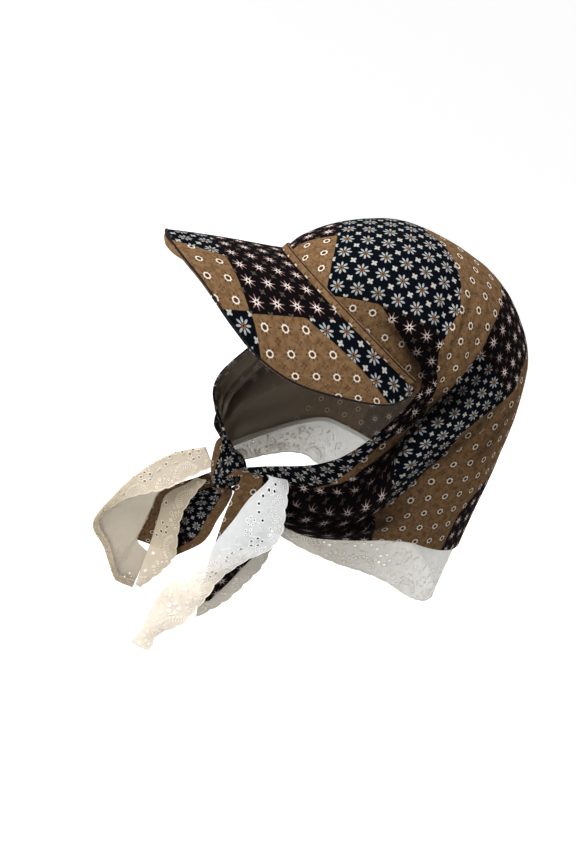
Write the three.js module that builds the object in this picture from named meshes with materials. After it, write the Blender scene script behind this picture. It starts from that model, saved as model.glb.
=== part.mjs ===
// Peaked sun scarf: a printed cotton hood on a stiff peak, gathered at the temples, folded along
// the jaws and knotted under the chin, with eyelet lace along its hem and its two tie ends.
// Millimetres, +Z up, the wearer looks along -Y and their left side is +X.
// The tables are in head heights (z = 0 at the temples); seatHeight moves the crown's inside top to z = 0.
import * as THREE from "three";

const seatHeight = 78.55;
const clothThick = 1.6;
const peakThick = 2.6;
const bandThick = 1.2;
const laceThick = 1.0;
const tailThick = 1.4;
const clearance = 0.35;
const bandWidth = 5;
const laceOverlap = 4;
const laceTurn = 12;
const laceReach = 0.84; // shares of the way to the knot that the hem lace,
const bandReach = 0.93; // the band (of the sides of the head)
const peakReach = 0.97; // and the peak (of the same) go down
const bandSeat = 0.15; // the band's own small gap to the cloth's facets
const small = 0.01; // step in u or v for a length or a direction along an edge
const foldIn = 0.16; // ways over which a fold rises and fades
const foldOut = 0.08;
const eyeletRadius = 1.3;
const eyeletSides = 6;

// One row for each strand of the hood, front edge first and hem last: where it crosses the middle
// of the head, the side of the head and the jaw, and how long it runs on before it turns forward.
const strandRows = [
  { v: 0.0, topY: -94, topZ: 20, sideX: 78, sideY: -13, sideZ: -2, turn: 14, jawX: 68, jawY: -27, jawZ: -66 },
  { v: 0.08, topY: -85, topZ: 38, sideX: 79, sideY: -11, sideZ: 4, turn: 14, jawX: 71, jawY: -22, jawZ: -67 },
  { v: 0.16, topY: -60, topZ: 61, sideX: 80, sideY: -10, sideZ: 8, turn: 16, jawX: 73, jawY: -18, jawZ: -68 },
  { v: 0.25, topY: -22, topZ: 77.5, sideX: 81, sideY: -5.5, sideZ: 6.5, turn: 20, jawX: 75, jawY: -14, jawZ: -71 },
  { v: 0.38, topY: 30, topZ: 77, sideX: 83, sideY: 0, sideZ: -5, turn: 24, jawX: 77, jawY: -9, jawZ: -77 },
  { v: 0.5, topY: 68, topZ: 62, sideX: 84, sideY: 8, sideZ: -20, turn: 34, jawX: 77, jawY: -4, jawZ: -88 },
  { v: 0.62, topY: 93, topZ: 38, sideX: 85, sideY: 24, sideZ: -38, turn: 40, jawX: 77, jawY: 0, jawZ: -98 },
  { v: 0.8, topY: 110, topZ: -20, sideX: 85, sideY: 40, sideZ: -64, turn: 46, jawX: 74, jawY: -2, jawZ: -114 },
  { v: 1.0, topY: 127, topZ: -95, sideX: 83, sideY: 54, sideZ: -96, turn: 60, jawX: 58, jawY: -8, jawZ: -129 },
];
// Where the same strands reach the knot on each side, and the far jaw, which sits further forward.
const tieRows = [
  { v: 0.0, nearX: 3.4, nearY: -44, nearZ: -122, farX: -24.4, farY: -48, farZ: -122, farJawX: 76, farJawY: -55, farJawZ: -92 },
  { v: 0.5, nearX: 7.6, nearY: -43, nearZ: -131, farX: -28.8, farY: -46, farZ: -131, farJawX: 80, farJawY: -34, farJawZ: -104 },
  { v: 1.0, nearX: 3.4, nearY: -44, nearZ: -140, farX: -26.2, farY: -47, farZ: -140, farJawX: 62, farJawY: -20, farJawZ: -134 },
];
// Folds of the hood: the strand each one follows, its half width in v, its height outwards, and
// the share of the way from the middle of the head to the knot over which it stands.
const foldRows = [
  { v: 0.05, width: 0.02, height: 1.6, from: 0.28, to: 0.52 },
  { v: 0.11, width: 0.02, height: -1.5, from: 0.26, to: 0.5 },
  { v: 0.19, width: 0.04, height: 1.5, from: 0.26, to: 0.44 },
  { v: 0.2, width: 0.05, height: 1.5, from: 0.56, to: 0.92 },
  { v: 0.3, width: 0.035, height: -1.5, from: 0.34, to: 0.9 },
  { v: 0.425, width: 0.032, height: -4, from: 0.32, to: 0.9 },
  { v: 0.53, width: 0.06, height: 5.5, from: 0.2, to: 0.95 },
  { v: 0.68, width: 0.04, height: -2.4, from: 0.36, to: 0.84 },
  { v: 0.8, width: 0.06, height: 1.6, from: 0.5, to: 0.84 },
];
const sideShare = 0.52;
const jawShare = 0.76;

// Outer edge of the peak, a row for each share of the way from its middle to its end.
const peakRows = [
  { s: 0.0, x: 0, y: -175, z: -1.5 },
  { s: 0.12, x: 21.5, y: -171, z: -2.5 },
  { s: 0.25, x: 40.5, y: -160, z: -6.5 },
  { s: 0.42, x: 62.5, y: -139.5, z: -17 },
  { s: 0.55, x: 75, y: -119, z: -25 },
  { s: 0.7, x: 84, y: -92, z: -27 },
  { s: 0.85, x: 88, y: -54, z: -20.5 },
  { s: 0.94, x: 87, y: -31, z: -14 },
  { s: 1.0, x: 82, y: -19, z: -5.5 },
];
const peakCamber = 1.5;
const peakSet = 2.6;

// Lace below the hem: its depth and how far it swings out, by the share of the way to the knot.
const hemLaceRows = [
  { u: 0.0, depth: 42, flare: 7 },
  { u: 0.3, depth: 43, flare: 8 },
  { u: 0.5, depth: 36, flare: 7 },
  { u: 0.62, depth: 27, flare: 4 },
  { u: 0.74, depth: 16, flare: 2 },
  { u: 0.84, depth: 10, flare: 1 },
];

// The knot: an egg with rolls of cloth wrapped round it.
const knot = { x: -10.5, y: -45, z: -131, halfX: 17, halfY: 12, halfZ: 15, wraps: 3, wrapHeight: 1.1 };

// Each tie end hangs in an upright sheet that faces forward and to the wearer's left. Its tables
// give, from the knot downwards, where its two edges lie: across, down and out from the corner.
const tailAcross = new THREE.Vector3(0.545, 0.839, 0);
const tailOut = new THREE.Vector3(0.839, -0.545, 0);
const flapGap = 2.2;
const flapColumns = 6;
const nearCorner = new THREE.Vector3(31, -43, -118);
const farCorner = new THREE.Vector3(-34, -50, -131);

const nearClothRows = [
  { a: -22, aDown: 14, aOut: -16, b: -19, bDown: 5, bOut: -15 },
  { a: -14, aDown: 5, aOut: -6, b: 1, bDown: -4, bOut: -3 },
  { a: -12, aDown: 14, aOut: -1, b: 12, bDown: 6, bOut: 1 },
  { a: -9, aDown: 32, aOut: -1, b: 22, bDown: 20, bOut: 2 },
  { a: -5, aDown: 50, aOut: -2, b: 24, bDown: 38, bOut: -1 },
  { a: -1, aDown: 67, aOut: -3, b: 21, bDown: 56, bOut: -3 },
  { a: 4, aDown: 83, aOut: -3, b: 18, bDown: 74, bOut: -5 },
  { a: 8, aDown: 99, aOut: -3, b: 14, bDown: 93, bOut: -5 },
];
const nearLaceRows = [
  { a: 0, aDown: -9, aOut: 1.5, b: 14, bDown: -14, bOut: 1 },
  { a: 3, aDown: -6, aOut: 2, b: 19, bDown: -8, bOut: 6 },
  { a: -1, aDown: 13, aOut: 1.5, b: 25, bDown: 4, bOut: 9 },
  { a: -2, aDown: 31, aOut: 1.3, b: 30, bDown: 16, bOut: 9 },
  { a: -4, aDown: 50, aOut: -0.3, b: 30, bDown: 31, bOut: 6 },
  { a: -5, aDown: 70, aOut: -1.2, b: 21, bDown: 48, bOut: 4 },
  { a: -7, aDown: 86, aOut: 0, b: 13, bDown: 71, bOut: 2 },
  { a: -13, aDown: 92, aOut: 0, b: 12, bDown: 88, bOut: 4 },
  { a: -17, aDown: 102, aOut: 2, b: 10, bDown: 101, bOut: 2 },
  { a: -17, aDown: 118, aOut: 0, b: 8, bDown: 115, bOut: 4 },
  { a: -15, aDown: 136, aOut: 2, b: -2, bDown: 133, bOut: 1 },
  { a: -16, aDown: 150, aOut: 0, b: -1, bDown: 147, bOut: 3 },
];
const nearBackLaceRows = [
  { a: 24, aDown: 34, aOut: -1.9, b: 29, bDown: 31, bOut: -6 },
  { a: 24, aDown: 42, aOut: -3, b: 31, bDown: 38, bOut: -8 },
  { a: 21, aDown: 56, aOut: -4.7, b: 32, bDown: 53, bOut: -8 },
  { a: 18, aDown: 73, aOut: -6.6, b: 29, bDown: 69, bOut: -8 },
  { a: 14, aDown: 88, aOut: -6.8, b: 24, bDown: 89, bOut: -7 },
  { a: 9, aDown: 101, aOut: -6.5, b: 13, bDown: 111, bOut: -6 },
];
const farClothRows = [
  { a: 9.8, aDown: 11.5, aOut: 6, b: 18.5, bDown: 13.5, bOut: 8.4 },
  { a: 2, aDown: 24, aOut: -1, b: 27, bDown: 19, bOut: 4 },
  { a: -8, aDown: 38, aOut: -3, b: 29, bDown: 30, bOut: 4 },
  { a: -18, aDown: 54, aOut: -3, b: 29, bDown: 44, bOut: 3 },
  { a: -16, aDown: 67, aOut: -3, b: 30, bDown: 56, bOut: 4 },
  { a: -15, aDown: 81, aOut: -4, b: 28, bDown: 67, bOut: 3 },
  { a: -14, aDown: 94, aOut: -4, b: 18, bDown: 85, bOut: 1 },
];
const farInnerLaceRows = [
  { a: 0, aDown: 26, aOut: 1, b: 8, bDown: 21, bOut: 6 },
  { a: -3, aDown: 34, aOut: 0, b: 7, bDown: 28, bOut: 6 },
  { a: -9, aDown: 44, aOut: -1.4, b: 6, bDown: 40, bOut: 5 },
  { a: -12, aDown: 53, aOut: -1.4, b: 6, bDown: 50, bOut: 5 },
  { a: -9, aDown: 65, aOut: -0.9, b: 8, bDown: 60, bOut: 4 },
  { a: -6, aDown: 77, aOut: -1.5, b: 13, bDown: 72, bOut: 5 },
  { a: -3, aDown: 89, aOut: -1.4, b: 18, bDown: 84, bOut: 4 },
  { a: 0, aDown: 104, aOut: 0, b: 16, bDown: 100, bOut: 4 },
  { a: 4, aDown: 122, aOut: 1, b: 9, bDown: 121, bOut: 2 },
];
// The outer lace of the far tie end is turned over along its upper edge, so it has a third edge.
const farOuterLaceRows = [
  { a: 6, aDown: 11, aOut: 3.5, b: -5, bDown: 2, bOut: 5, c: 7, cDown: 9, cOut: 8.5 },
  { a: -3, aDown: 24, aOut: 3, b: -20, bDown: 16, bOut: 6, c: -4, cDown: 28, cOut: 8.5 },
  { a: -11, aDown: 40, aOut: 0.5, b: -30, bDown: 32, bOut: 6, c: -13, cDown: 43, cOut: 8.5 },
  { a: -17, aDown: 53, aOut: -1.4, b: -37, bDown: 50, bOut: 5, c: -25, cDown: 56, cOut: 8.5 },
  { a: -16, aDown: 61, aOut: -1.4, b: -42, bDown: 70, bOut: 4, c: -36, cDown: 70, cOut: 7.5 },
  { a: -15, aDown: 69, aOut: -1.4, b: -45, bDown: 97, bOut: 3, c: -42.5, cDown: 93, cOut: 5.8 },
  { a: -14, aDown: 78, aOut: -2.1, b: -30, bDown: 109, bOut: 1, c: -28, cDown: 105, cOut: 4 },
  { a: -13.5, aDown: 86, aOut: -2.3, b: -19, bDown: 119, bOut: 1, c: -18, cDown: 114, cOut: 4 },
  { a: -11.5, aDown: 94, aOut: -2.6, b: -10, bDown: 127, bOut: -1, c: -10, cDown: 122, cOut: 2 },
  { a: -1, aDown: 97, aOut: -3.3, b: 3, bDown: 126, bOut: -3.6, c: 2.5, cDown: 121, cOut: -0.8 },
];

// Value of one column at a place, on a smooth curve through the rows.
function along(rows, key, column, at) {
  const last = rows.length - 1;
  const slope = (i) => {
    const lo = Math.max(i - 1, 0);
    const hi = Math.min(i + 1, last);
    return (rows[hi][column] - rows[lo][column]) / (rows[hi][key] - rows[lo][key]);
  };
  const place = Math.min(Math.max(at, rows[0][key]), rows[last][key]);
  let i = 0;
  while (i < last - 1 && place > rows[i + 1][key]) i += 1;
  const step = rows[i + 1][key] - rows[i][key];
  const t = (place - rows[i][key]) / step;
  const tt = t * t;
  const ttt = tt * t;
  return (
    (2 * ttt - 3 * tt + 1) * rows[i][column] +
    (ttt - 2 * tt + t) * step * slope(i) +
    (3 * tt - 2 * ttt) * rows[i + 1][column] +
    (ttt - tt) * step * slope(i + 1)
  );
}

// Cubic curve from p to q that leaves along mp and arrives along mq.
function curve(p, q, mp, mq, t) {
  const tt = t * t;
  const ttt = tt * t;
  return p
    .clone()
    .multiplyScalar(2 * ttt - 3 * tt + 1)
    .addScaledVector(mp, ttt - 2 * tt + t)
    .addScaledVector(q, 3 * tt - 2 * ttt)
    .addScaledVector(mq, ttt - tt);
}

// 0 to 1 as x goes from a to b, with level ends.
function ease(a, b, x) {
  const t = Math.min(Math.max((x - a) / (b - a), 0), 1);
  return t * t * (3 - 2 * t);
}

// Unfolded hood: u runs from the far knot end (-1) over the head to the near one (1), v from the
// face edge (0) to the hem (1). Over the head a strand is a quarter of an ellipse, below it a cubic.
function smoothHood(u, v) {
  const far = u < 0;
  const share = Math.abs(u);
  const at = (column) => along(strandRows, "v", column, v);
  const tie = (column) => along(tieRows, "v", column, v);
  const side = new THREE.Vector3(at("sideX"), at("sideY"), at("sideZ"));
  const rise = new THREE.Vector3(0, at("topY") - side.y, at("topZ") - side.z);
  const flip = far ? -1 : 1;
  if (share <= sideShare) {
    const angle = (share / sideShare) * (Math.PI / 2);
    return new THREE.Vector3(
      side.x * Math.sin(angle) * flip,
      side.y + rise.y * Math.cos(angle),
      side.z + rise.z * Math.cos(angle),
    );
  }
  const jaw = new THREE.Vector3(
    far ? tie("farJawX") : at("jawX"),
    far ? tie("farJawY") : at("jawY"),
    far ? tie("farJawZ") : at("jawZ"),
  );
  const end = far
    ? new THREE.Vector3(-tie("farX"), tie("farY"), tie("farZ"))
    : new THREE.Vector3(tie("nearX"), tie("nearY"), tie("nearZ"));
  const leave = rise.clone().normalize().multiplyScalar(-at("turn"));
  const pass = end.clone().sub(side).multiplyScalar(0.5);
  const arrive = end.clone().sub(jaw);
  const point =
    share <= jawShare
      ? curve(side, jaw, leave, pass, (share - sideShare) / (jawShare - sideShare))
      : curve(jaw, end, pass, arrive, (share - jawShare) / (1 - jawShare));
  point.x *= flip;
  return point;
}

// Outward direction of a surface at (u, v), from two short steps on it.
function outward(surface, u, v, turn) {
  const e = 0.004;
  const du = surface(Math.min(u + e, 1), v).sub(surface(Math.max(u - e, -1), v));
  const dv = surface(u, Math.min(v + e, 1)).sub(surface(u, Math.max(v - e, 0)));
  return du.cross(dv).normalize().multiplyScalar(turn);
}

// Height of all folds together at (u, v).
function foldHeight(u, v) {
  const share = Math.abs(u);
  return foldRows.reduce((sum, fold) => {
    const off = (v - fold.v) / fold.width;
    const window = ease(fold.from, fold.from + foldIn, share) * (1 - ease(fold.to - foldOut, fold.to, share));
    return sum + fold.height * Math.exp(-off * off) * window;
  }, 0);
}

function hood(u, v) {
  const point = smoothHood(u, v);
  return point.addScaledVector(outward(smoothHood, u, v, 1), foldHeight(u, v));
}

// Cells (column, row) of a lace that have an eyelet: each row of eyelets starts at a column, comes
// again every few columns and ends at the last one.
const hemEyelets = [
  { row: 4, first: 6, every: 4, last: 50 },
  { row: 3, first: 4, every: 4, last: 52 },
];
const nearEyelets = [
  { row: 1, first: 3, every: 4, last: 19 },
  { row: 2, first: 5, every: 4, last: 17 },
];
const noEyelets = [];

function hasEyelet(rows, i, j) {
  return rows.some((r) => r.row === j && i >= r.first && i <= r.last && (i - r.first) % r.every === 0);
}

// A closed solid of a sheet: grid of points i, j with their outward directions, the two faces half
// the thickness to each side and a strip along each of the four edges. An eyelet is a ring of points
// round the middle of its cell: on each face a fan joins it to the cell's corners, and a wall joins
// the two rings.
function sheetSolid(across, along2, pointAt, outAt, thick, eyelets) {
  const side = (across + 1) * (along2 + 1);
  const positions = [];
  [0.5, -0.5].forEach((share) => {
    for (let i = 0; i <= across; i += 1) {
      for (let j = 0; j <= along2; j += 1) {
        const p = pointAt(i, j).clone().addScaledVector(outAt(i, j), share * thick);
        positions.push(p.x, p.y, p.z - seatHeight);
      }
    }
  });
  const id = (i, j, face) => face * side + i * (along2 + 1) + j;
  const index = [];
  const quad = (a, b, c, d) => index.push(a, b, c, a, c, d);
  const addEyelet = (i, j) => {
    const cell = [[i, j], [i + 1, j], [i + 1, j + 1], [i, j + 1]];
    const middle = new THREE.Vector3();
    const out = new THREE.Vector3();
    cell.forEach(([a, b]) => {
      middle.addScaledVector(pointAt(a, b), 1 / cell.length);
      out.add(outAt(a, b));
    });
    out.normalize();
    const way = pointAt(i, j).clone().sub(middle).projectOnPlane(out).normalize();
    const ahead = pointAt(i + 1, j).clone().sub(pointAt(i, j));
    const axis = ahead.cross(pointAt(i, j + 1).clone().sub(pointAt(i, j))).normalize();
    const start = positions.length / 3;
    for (let face = 0; face < 2; face += 1) {
      for (let k = 0; k < eyeletSides; k += 1) {
        const spoke = way.clone().applyAxisAngle(axis, (2 * Math.PI * k) / eyeletSides);
        const p = middle.clone().addScaledVector(spoke, eyeletRadius);
        p.addScaledVector(out, (0.5 - face) * thick);
        positions.push(p.x, p.y, p.z - seatHeight);
      }
    }
    const ring = (k, face) => start + face * eyeletSides + (k % eyeletSides);
    const nearest = (k) => Math.floor((k * cell.length) / eyeletSides + 0.5) % cell.length;
    for (let k = 0; k < eyeletSides; k += 1) {
      const c = nearest(k);
      const next = nearest(k + 1);
      const corner = [0, 1].map((face) => id(...cell[c], face));
      index.push(corner[0], ring(k + 1, 0), ring(k, 0), corner[1], ring(k, 1), ring(k + 1, 1));
      if (next !== c) {
        const other = [0, 1].map((face) => id(...cell[next], face));
        index.push(corner[0], other[0], ring(k + 1, 0), corner[1], ring(k + 1, 1), other[1]);
      }
      quad(ring(k, 0), ring(k + 1, 0), ring(k + 1, 1), ring(k, 1));
    }
  };
  for (let i = 0; i < across; i += 1) {
    for (let j = 0; j < along2; j += 1) {
      if (hasEyelet(eyelets, i, j)) {
        addEyelet(i, j);
      } else {
        quad(id(i, j, 0), id(i + 1, j, 0), id(i + 1, j + 1, 0), id(i, j + 1, 0));
        quad(id(i, j, 1), id(i, j + 1, 1), id(i + 1, j + 1, 1), id(i + 1, j, 1));
      }
    }
  }
  for (let i = 0; i < across; i += 1) {
    quad(id(i, 0, 0), id(i, 0, 1), id(i + 1, 0, 1), id(i + 1, 0, 0));
    quad(id(i, along2, 0), id(i + 1, along2, 0), id(i + 1, along2, 1), id(i, along2, 1));
  }
  for (let j = 0; j < along2; j += 1) {
    quad(id(0, j, 0), id(0, j + 1, 0), id(0, j + 1, 1), id(0, j, 1));
    quad(id(across, j, 0), id(across, j, 1), id(across, j + 1, 1), id(across, j + 1, 0));
  }
  return new THREE.BufferGeometry()
    .setAttribute("position", new THREE.Float32BufferAttribute(positions, 3))
    .setIndex(index);
}

// Sheet over a smooth surface of (s, t): its points are read once, its outward directions are
// taken between the neighbouring points of the grid, and turned to the side that turn names.
function gridSheet(across, along2, surface, thick, turn = 1, eyelets = noEyelets) {
  const points = [];
  for (let i = 0; i <= across; i += 1) {
    for (let j = 0; j <= along2; j += 1) points.push(surface(i / across, j / along2));
  }
  const at = (i, j) => points[i * (along2 + 1) + j];
  const outAt = (i, j) => {
    const du = at(Math.min(i + 1, across), j).clone().sub(at(Math.max(i - 1, 0), j));
    const dv = at(i, Math.min(j + 1, along2)).clone().sub(at(i, Math.max(j - 1, 0)));
    return du.cross(dv).normalize().multiplyScalar(turn);
  };
  const made = sheetSolid(across, along2, at, outAt, thick, eyelets);
  if (turn < 0) {
    const order = made.getIndex().array;
    for (let k = 0; k < order.length; k += 3) [order[k + 1], order[k + 2]] = [order[k + 2], order[k + 1]];
  }
  return made;
}

function makeHood() {
  return gridSheet(52, 27, (s, t) => hood(2 * s - 1, t), clothThick);
}

// Place on the hood a given distance in from the face edge, lifted off its outside.
function nearFaceEdge(u, inset, lift) {
  const step = smoothHood(u, small).distanceTo(smoothHood(u, 0)) / small;
  const v = inset / step;
  return hood(u, v).addScaledVector(outward(smoothHood, u, v, 1), lift);
}

function makeBand() {
  const lift = clothThick / 2 + clearance + bandThick / 2 + bandSeat;
  const reach = sideShare * bandReach;
  return gridSheet(40, 2, (s, t) => nearFaceEdge((2 * s - 1) * reach, 1 + t * bandWidth, lift), bandThick);
}

// The peak runs from just outside the face edge to its own outer edge.
function makePeak() {
  const surface = (s, t) => {
    const share = 2 * s - 1;
    const size = Math.abs(share);
    const inner = smoothHood(share * sideShare * peakReach, 0);
    const length = Math.hypot(inner.x, inner.y);
    inner.x += (inner.x / length) * peakSet;
    inner.y += (inner.y / length) * peakSet;
    const outer = new THREE.Vector3(
      along(peakRows, "s", "x", size) * Math.sign(share),
      along(peakRows, "s", "y", size),
      along(peakRows, "s", "z", size),
    );
    const point = inner.lerp(outer, t);
    point.z += peakCamber * 4 * t * (1 - t) * (1 - size ** 3);
    return point;
  };
  return gridSheet(40, 5, surface, peakThick, -1);
}

// Lace sewn behind the hem: its top lies inside the cloth and leaves it in line with the cloth, then
// it turns down over laceTurn millimetres and swings out.
function makeHemLace() {
  const lift = clothThick / 2 + clearance + laceThick / 2;
  const surface = (s, t) => {
    const u = (2 * s - 1) * laceReach;
    const size = Math.abs(u);
    const depth = along(hemLaceRows, "u", "depth", size);
    const step = smoothHood(u, 1).distanceTo(smoothHood(u, 1 - small)) / small;
    const out = outward(smoothHood, u, 1, 1);
    const down = t * (depth + laceOverlap) - laceOverlap;
    if (down <= 0) return hood(u, 1 + down / step).addScaledVector(out, -lift);
    const tangent = smoothHood(u, 1).sub(smoothHood(u, 1 - small)).normalize();
    const fall = out.clone().setZ(0).normalize();
    fall.multiplyScalar(along(hemLaceRows, "u", "flare", size) / depth).add(new THREE.Vector3(0, 0, -1));
    const straight = down < laceTurn ? down - (down * down) / (2 * laceTurn) : laceTurn / 2;
    const start = hood(u, 1).addScaledVector(out, -lift);
    return start.addScaledVector(tangent, straight).addScaledVector(fall, down - straight);
  };
  return gridSheet(56, 5, surface, laceThick, 1, hemEyelets);
}

function makeKnot() {
  const round = 24;
  const rings = 12;
  const positions = [];
  const index = [];
  const point = (ring, turn) => {
    const polar = (ring / rings) * Math.PI;
    const angle = (turn / round) * 2 * Math.PI;
    const wrap = 1 + (knot.wrapHeight / knot.halfZ) * Math.sin(knot.wraps * angle + 2.5 * polar) * Math.sin(polar);
    return [
      knot.x + knot.halfX * Math.cos(polar) * wrap,
      knot.y + knot.halfY * Math.sin(polar) * Math.cos(angle) * wrap,
      knot.z + knot.halfZ * Math.sin(polar) * Math.sin(angle) * wrap - seatHeight,
    ];
  };
  positions.push(...point(0, 0));
  for (let ring = 1; ring < rings; ring += 1) {
    for (let turn = 0; turn < round; turn += 1) positions.push(...point(ring, turn));
  }
  positions.push(...point(rings, 0));
  const id = (ring, turn) => 1 + (ring - 1) * round + (turn % round);
  const end = 1 + (rings - 1) * round;
  for (let turn = 0; turn < round; turn += 1) {
    index.push(0, id(1, turn), id(1, turn + 1));
    index.push(end, id(rings - 1, turn + 1), id(rings - 1, turn));
    for (let ring = 1; ring < rings - 1; ring += 1) {
      index.push(id(ring, turn), id(ring + 1, turn), id(ring + 1, turn + 1));
      index.push(id(ring, turn), id(ring + 1, turn + 1), id(ring, turn + 1));
    }
  }
  return new THREE.BufferGeometry()
    .setAttribute("position", new THREE.Float32BufferAttribute(positions, 3))
    .setIndex(index);
}

// Place in the sheet of a tie end.
function hang(corner, across, down, out) {
  return corner
    .clone()
    .addScaledVector(tailAcross, across)
    .addScaledVector(tailOut, out)
    .add(new THREE.Vector3(0, 0, -down));
}

// Strip of a tie end between two edges of a table, bowed by belly millimetres towards the front.
function makeStrip(corner, rows, long, wide, thick, belly, eyelets = noEyelets) {
  const keyed = rows.map((row, i) => ({ ...row, p: i / (rows.length - 1) }));
  const surface = (s, t) => {
    const at = (column) => along(keyed, "p", column, s);
    const a = hang(corner, at("a"), at("aDown"), at("aOut"));
    const b = hang(corner, at("b"), at("bDown"), at("bOut"));
    return a.lerp(b, t).addScaledVector(tailOut, belly * 4 * t * (1 - t));
  };
  return gridSheet(long, wide, surface, thick, -1, eyelets);
}

// Strip with a turned-over flap: from its sewn edge a to b, round a fold, then back in front to c.
function makeFlapStrip(corner, rows, long, thick) {
  const keyed = rows.map((row, i) => ({ ...row, p: i / (rows.length - 1) }));
  const surface = (s, t) => {
    const at = (column) => along(keyed, "p", column, s);
    const a = hang(corner, at("a"), at("aDown"), at("aOut"));
    const b = hang(corner, at("b"), at("bDown"), at("bOut"));
    const c = hang(corner, at("c"), at("cDown"), at("cOut"));
    const back = b.clone().addScaledVector(tailOut, flapGap);
    const fold = b.clone().lerp(back, 0.5);
    fold.add(b.clone().sub(a).setLength(flapGap / 2));
    const profile = [a, a.clone().lerp(b, 0.5), b, fold, back, back.clone().lerp(c, 0.5), c];
    return profile[Math.round(t * flapColumns)];
  };
  return gridSheet(long, flapColumns, surface, thick, -1);
}

const print = new THREE.MeshStandardMaterial({ color: 0x4a3b2a, roughness: 0.85 });
const tan = new THREE.MeshStandardMaterial({ color: 0x8c704c, roughness: 0.85 });
const lace = new THREE.MeshStandardMaterial({ color: 0xf1ece0, roughness: 0.9 });

const group = new THREE.Group();
function add(name, geometry, material) {
  const mesh = new THREE.Mesh(geometry, material);
  geometry.computeVertexNormals();
  mesh.name = name;
  group.add(mesh);
}

add("hood", makeHood(), print);
add("peak", makePeak(), print);
add("peak_band", makeBand(), tan);
add("hem_lace", makeHemLace(), lace);
add("knot", makeKnot(), print);
add("left_tie_end", makeStrip(nearCorner, nearClothRows, 14, 3, tailThick, 0), print);
add("left_tie_lace", makeStrip(nearCorner, nearLaceRows, 24, 3, laceThick, 1.5, nearEyelets), lace);
add("left_tie_back_lace", makeStrip(nearCorner, nearBackLaceRows, 12, 2, laceThick, 0.5), lace);
add("right_tie_end", makeStrip(farCorner, farClothRows, 14, 4, tailThick, -1), print);
add("right_tie_lace", makeFlapStrip(farCorner, farOuterLaceRows, 20, laceThick), lace);
add("right_tie_inner_lace", makeStrip(farCorner, farInnerLaceRows, 16, 2, laceThick, 1), lace);

export default group;
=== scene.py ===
import bpy
import numpy as np
from mathutils import Matrix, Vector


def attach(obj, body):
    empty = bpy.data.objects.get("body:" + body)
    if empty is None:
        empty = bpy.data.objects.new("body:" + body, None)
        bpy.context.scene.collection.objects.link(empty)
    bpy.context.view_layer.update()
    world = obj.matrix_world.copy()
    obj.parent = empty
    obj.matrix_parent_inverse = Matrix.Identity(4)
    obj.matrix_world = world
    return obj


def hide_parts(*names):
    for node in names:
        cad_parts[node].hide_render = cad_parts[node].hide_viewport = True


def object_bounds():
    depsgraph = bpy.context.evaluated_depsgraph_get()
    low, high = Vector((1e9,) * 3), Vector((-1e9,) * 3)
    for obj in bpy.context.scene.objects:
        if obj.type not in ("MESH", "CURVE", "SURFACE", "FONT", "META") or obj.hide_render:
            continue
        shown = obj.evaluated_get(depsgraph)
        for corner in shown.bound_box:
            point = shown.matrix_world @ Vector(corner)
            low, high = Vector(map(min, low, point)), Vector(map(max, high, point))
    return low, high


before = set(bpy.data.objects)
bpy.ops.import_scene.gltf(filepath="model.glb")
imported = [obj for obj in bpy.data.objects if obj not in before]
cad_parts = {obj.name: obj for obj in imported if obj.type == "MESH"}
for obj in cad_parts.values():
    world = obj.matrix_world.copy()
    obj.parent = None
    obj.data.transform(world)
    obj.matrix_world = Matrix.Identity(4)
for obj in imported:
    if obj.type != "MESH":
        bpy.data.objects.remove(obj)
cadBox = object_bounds()
seatHeight = 78.55  # millimetres from the temples up to the inside of the crown

# The shapes below are in millimetres from the temples, as in the part; toFrame puts them in the frame.


def toFrame(points):
    return (np.asarray(points, float) - [0, 0, seatHeight]) / 1000


def columns(names, rows):  # a table with named columns
    return dict(zip(names.split(), np.array(rows, float).T))


# Cubic from p to q that leaves along leave and arrives along arrive.
def cubic(p, q, leave, arrive, t):
    return (
        (2 * t**3 - 3 * t**2 + 1) * p
        + (t**3 - 2 * t**2 + t) * leave
        + (3 * t**2 - 2 * t**3) * q
        + (t**3 - t**2) * arrive
    )


# Value of a column on a smooth curve through the rows: cubic pieces that share slopes at each row.
def along(table, key, column, at):
    x, y = table[key], table[column]
    slope = np.empty_like(y)
    slope[1:-1] = (y[2:] - y[:-2]) / (x[2:] - x[:-2])
    slope[0] = (y[1] - y[0]) / (x[1] - x[0])
    slope[-1] = (y[-1] - y[-2]) / (x[-1] - x[-2])
    at = np.clip(at, x[0], x[-1])
    i = np.clip(np.searchsorted(x, at, side="left") - 1, 0, len(x) - 2)
    wide = x[i + 1] - x[i]
    return cubic(y[i], y[i + 1], wide * slope[i], wide * slope[i + 1], (at - x[i]) / wide)


def ease(a, b, x):  # 0 to 1 from a to b, level at both ends
    t = np.clip((x - a) / (b - a), 0, 1)
    return t * t * (3 - 2 * t)


def unit(a):
    return a / np.maximum(np.linalg.norm(a, axis=-1, keepdims=True), 1e-12)


def point(x, y, z):
    return np.stack(np.broadcast_arrays(x, y, z), axis=-1).astype(float)


def gaps(points, axis):  # distances between neighbours along an axis of a grid of points
    return np.linalg.norm(np.diff(points, axis=axis), axis=-1)


def distanceAlong(line):  # from the start of a line of points to each of them
    return np.concatenate([[0], gaps(line, 0).cumsum()])


# Outward direction of a surface (u, v): the cross product of two short steps on it.
def outward(surface, u, v, low=-1.0):
    e = 0.004
    du = surface(np.minimum(u + e, 1), v) - surface(np.maximum(u - e, low), v)
    dv = surface(u, np.minimum(v + e, 1)) - surface(u, np.maximum(v - e, 0))
    return unit(np.cross(du, dv))


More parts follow.
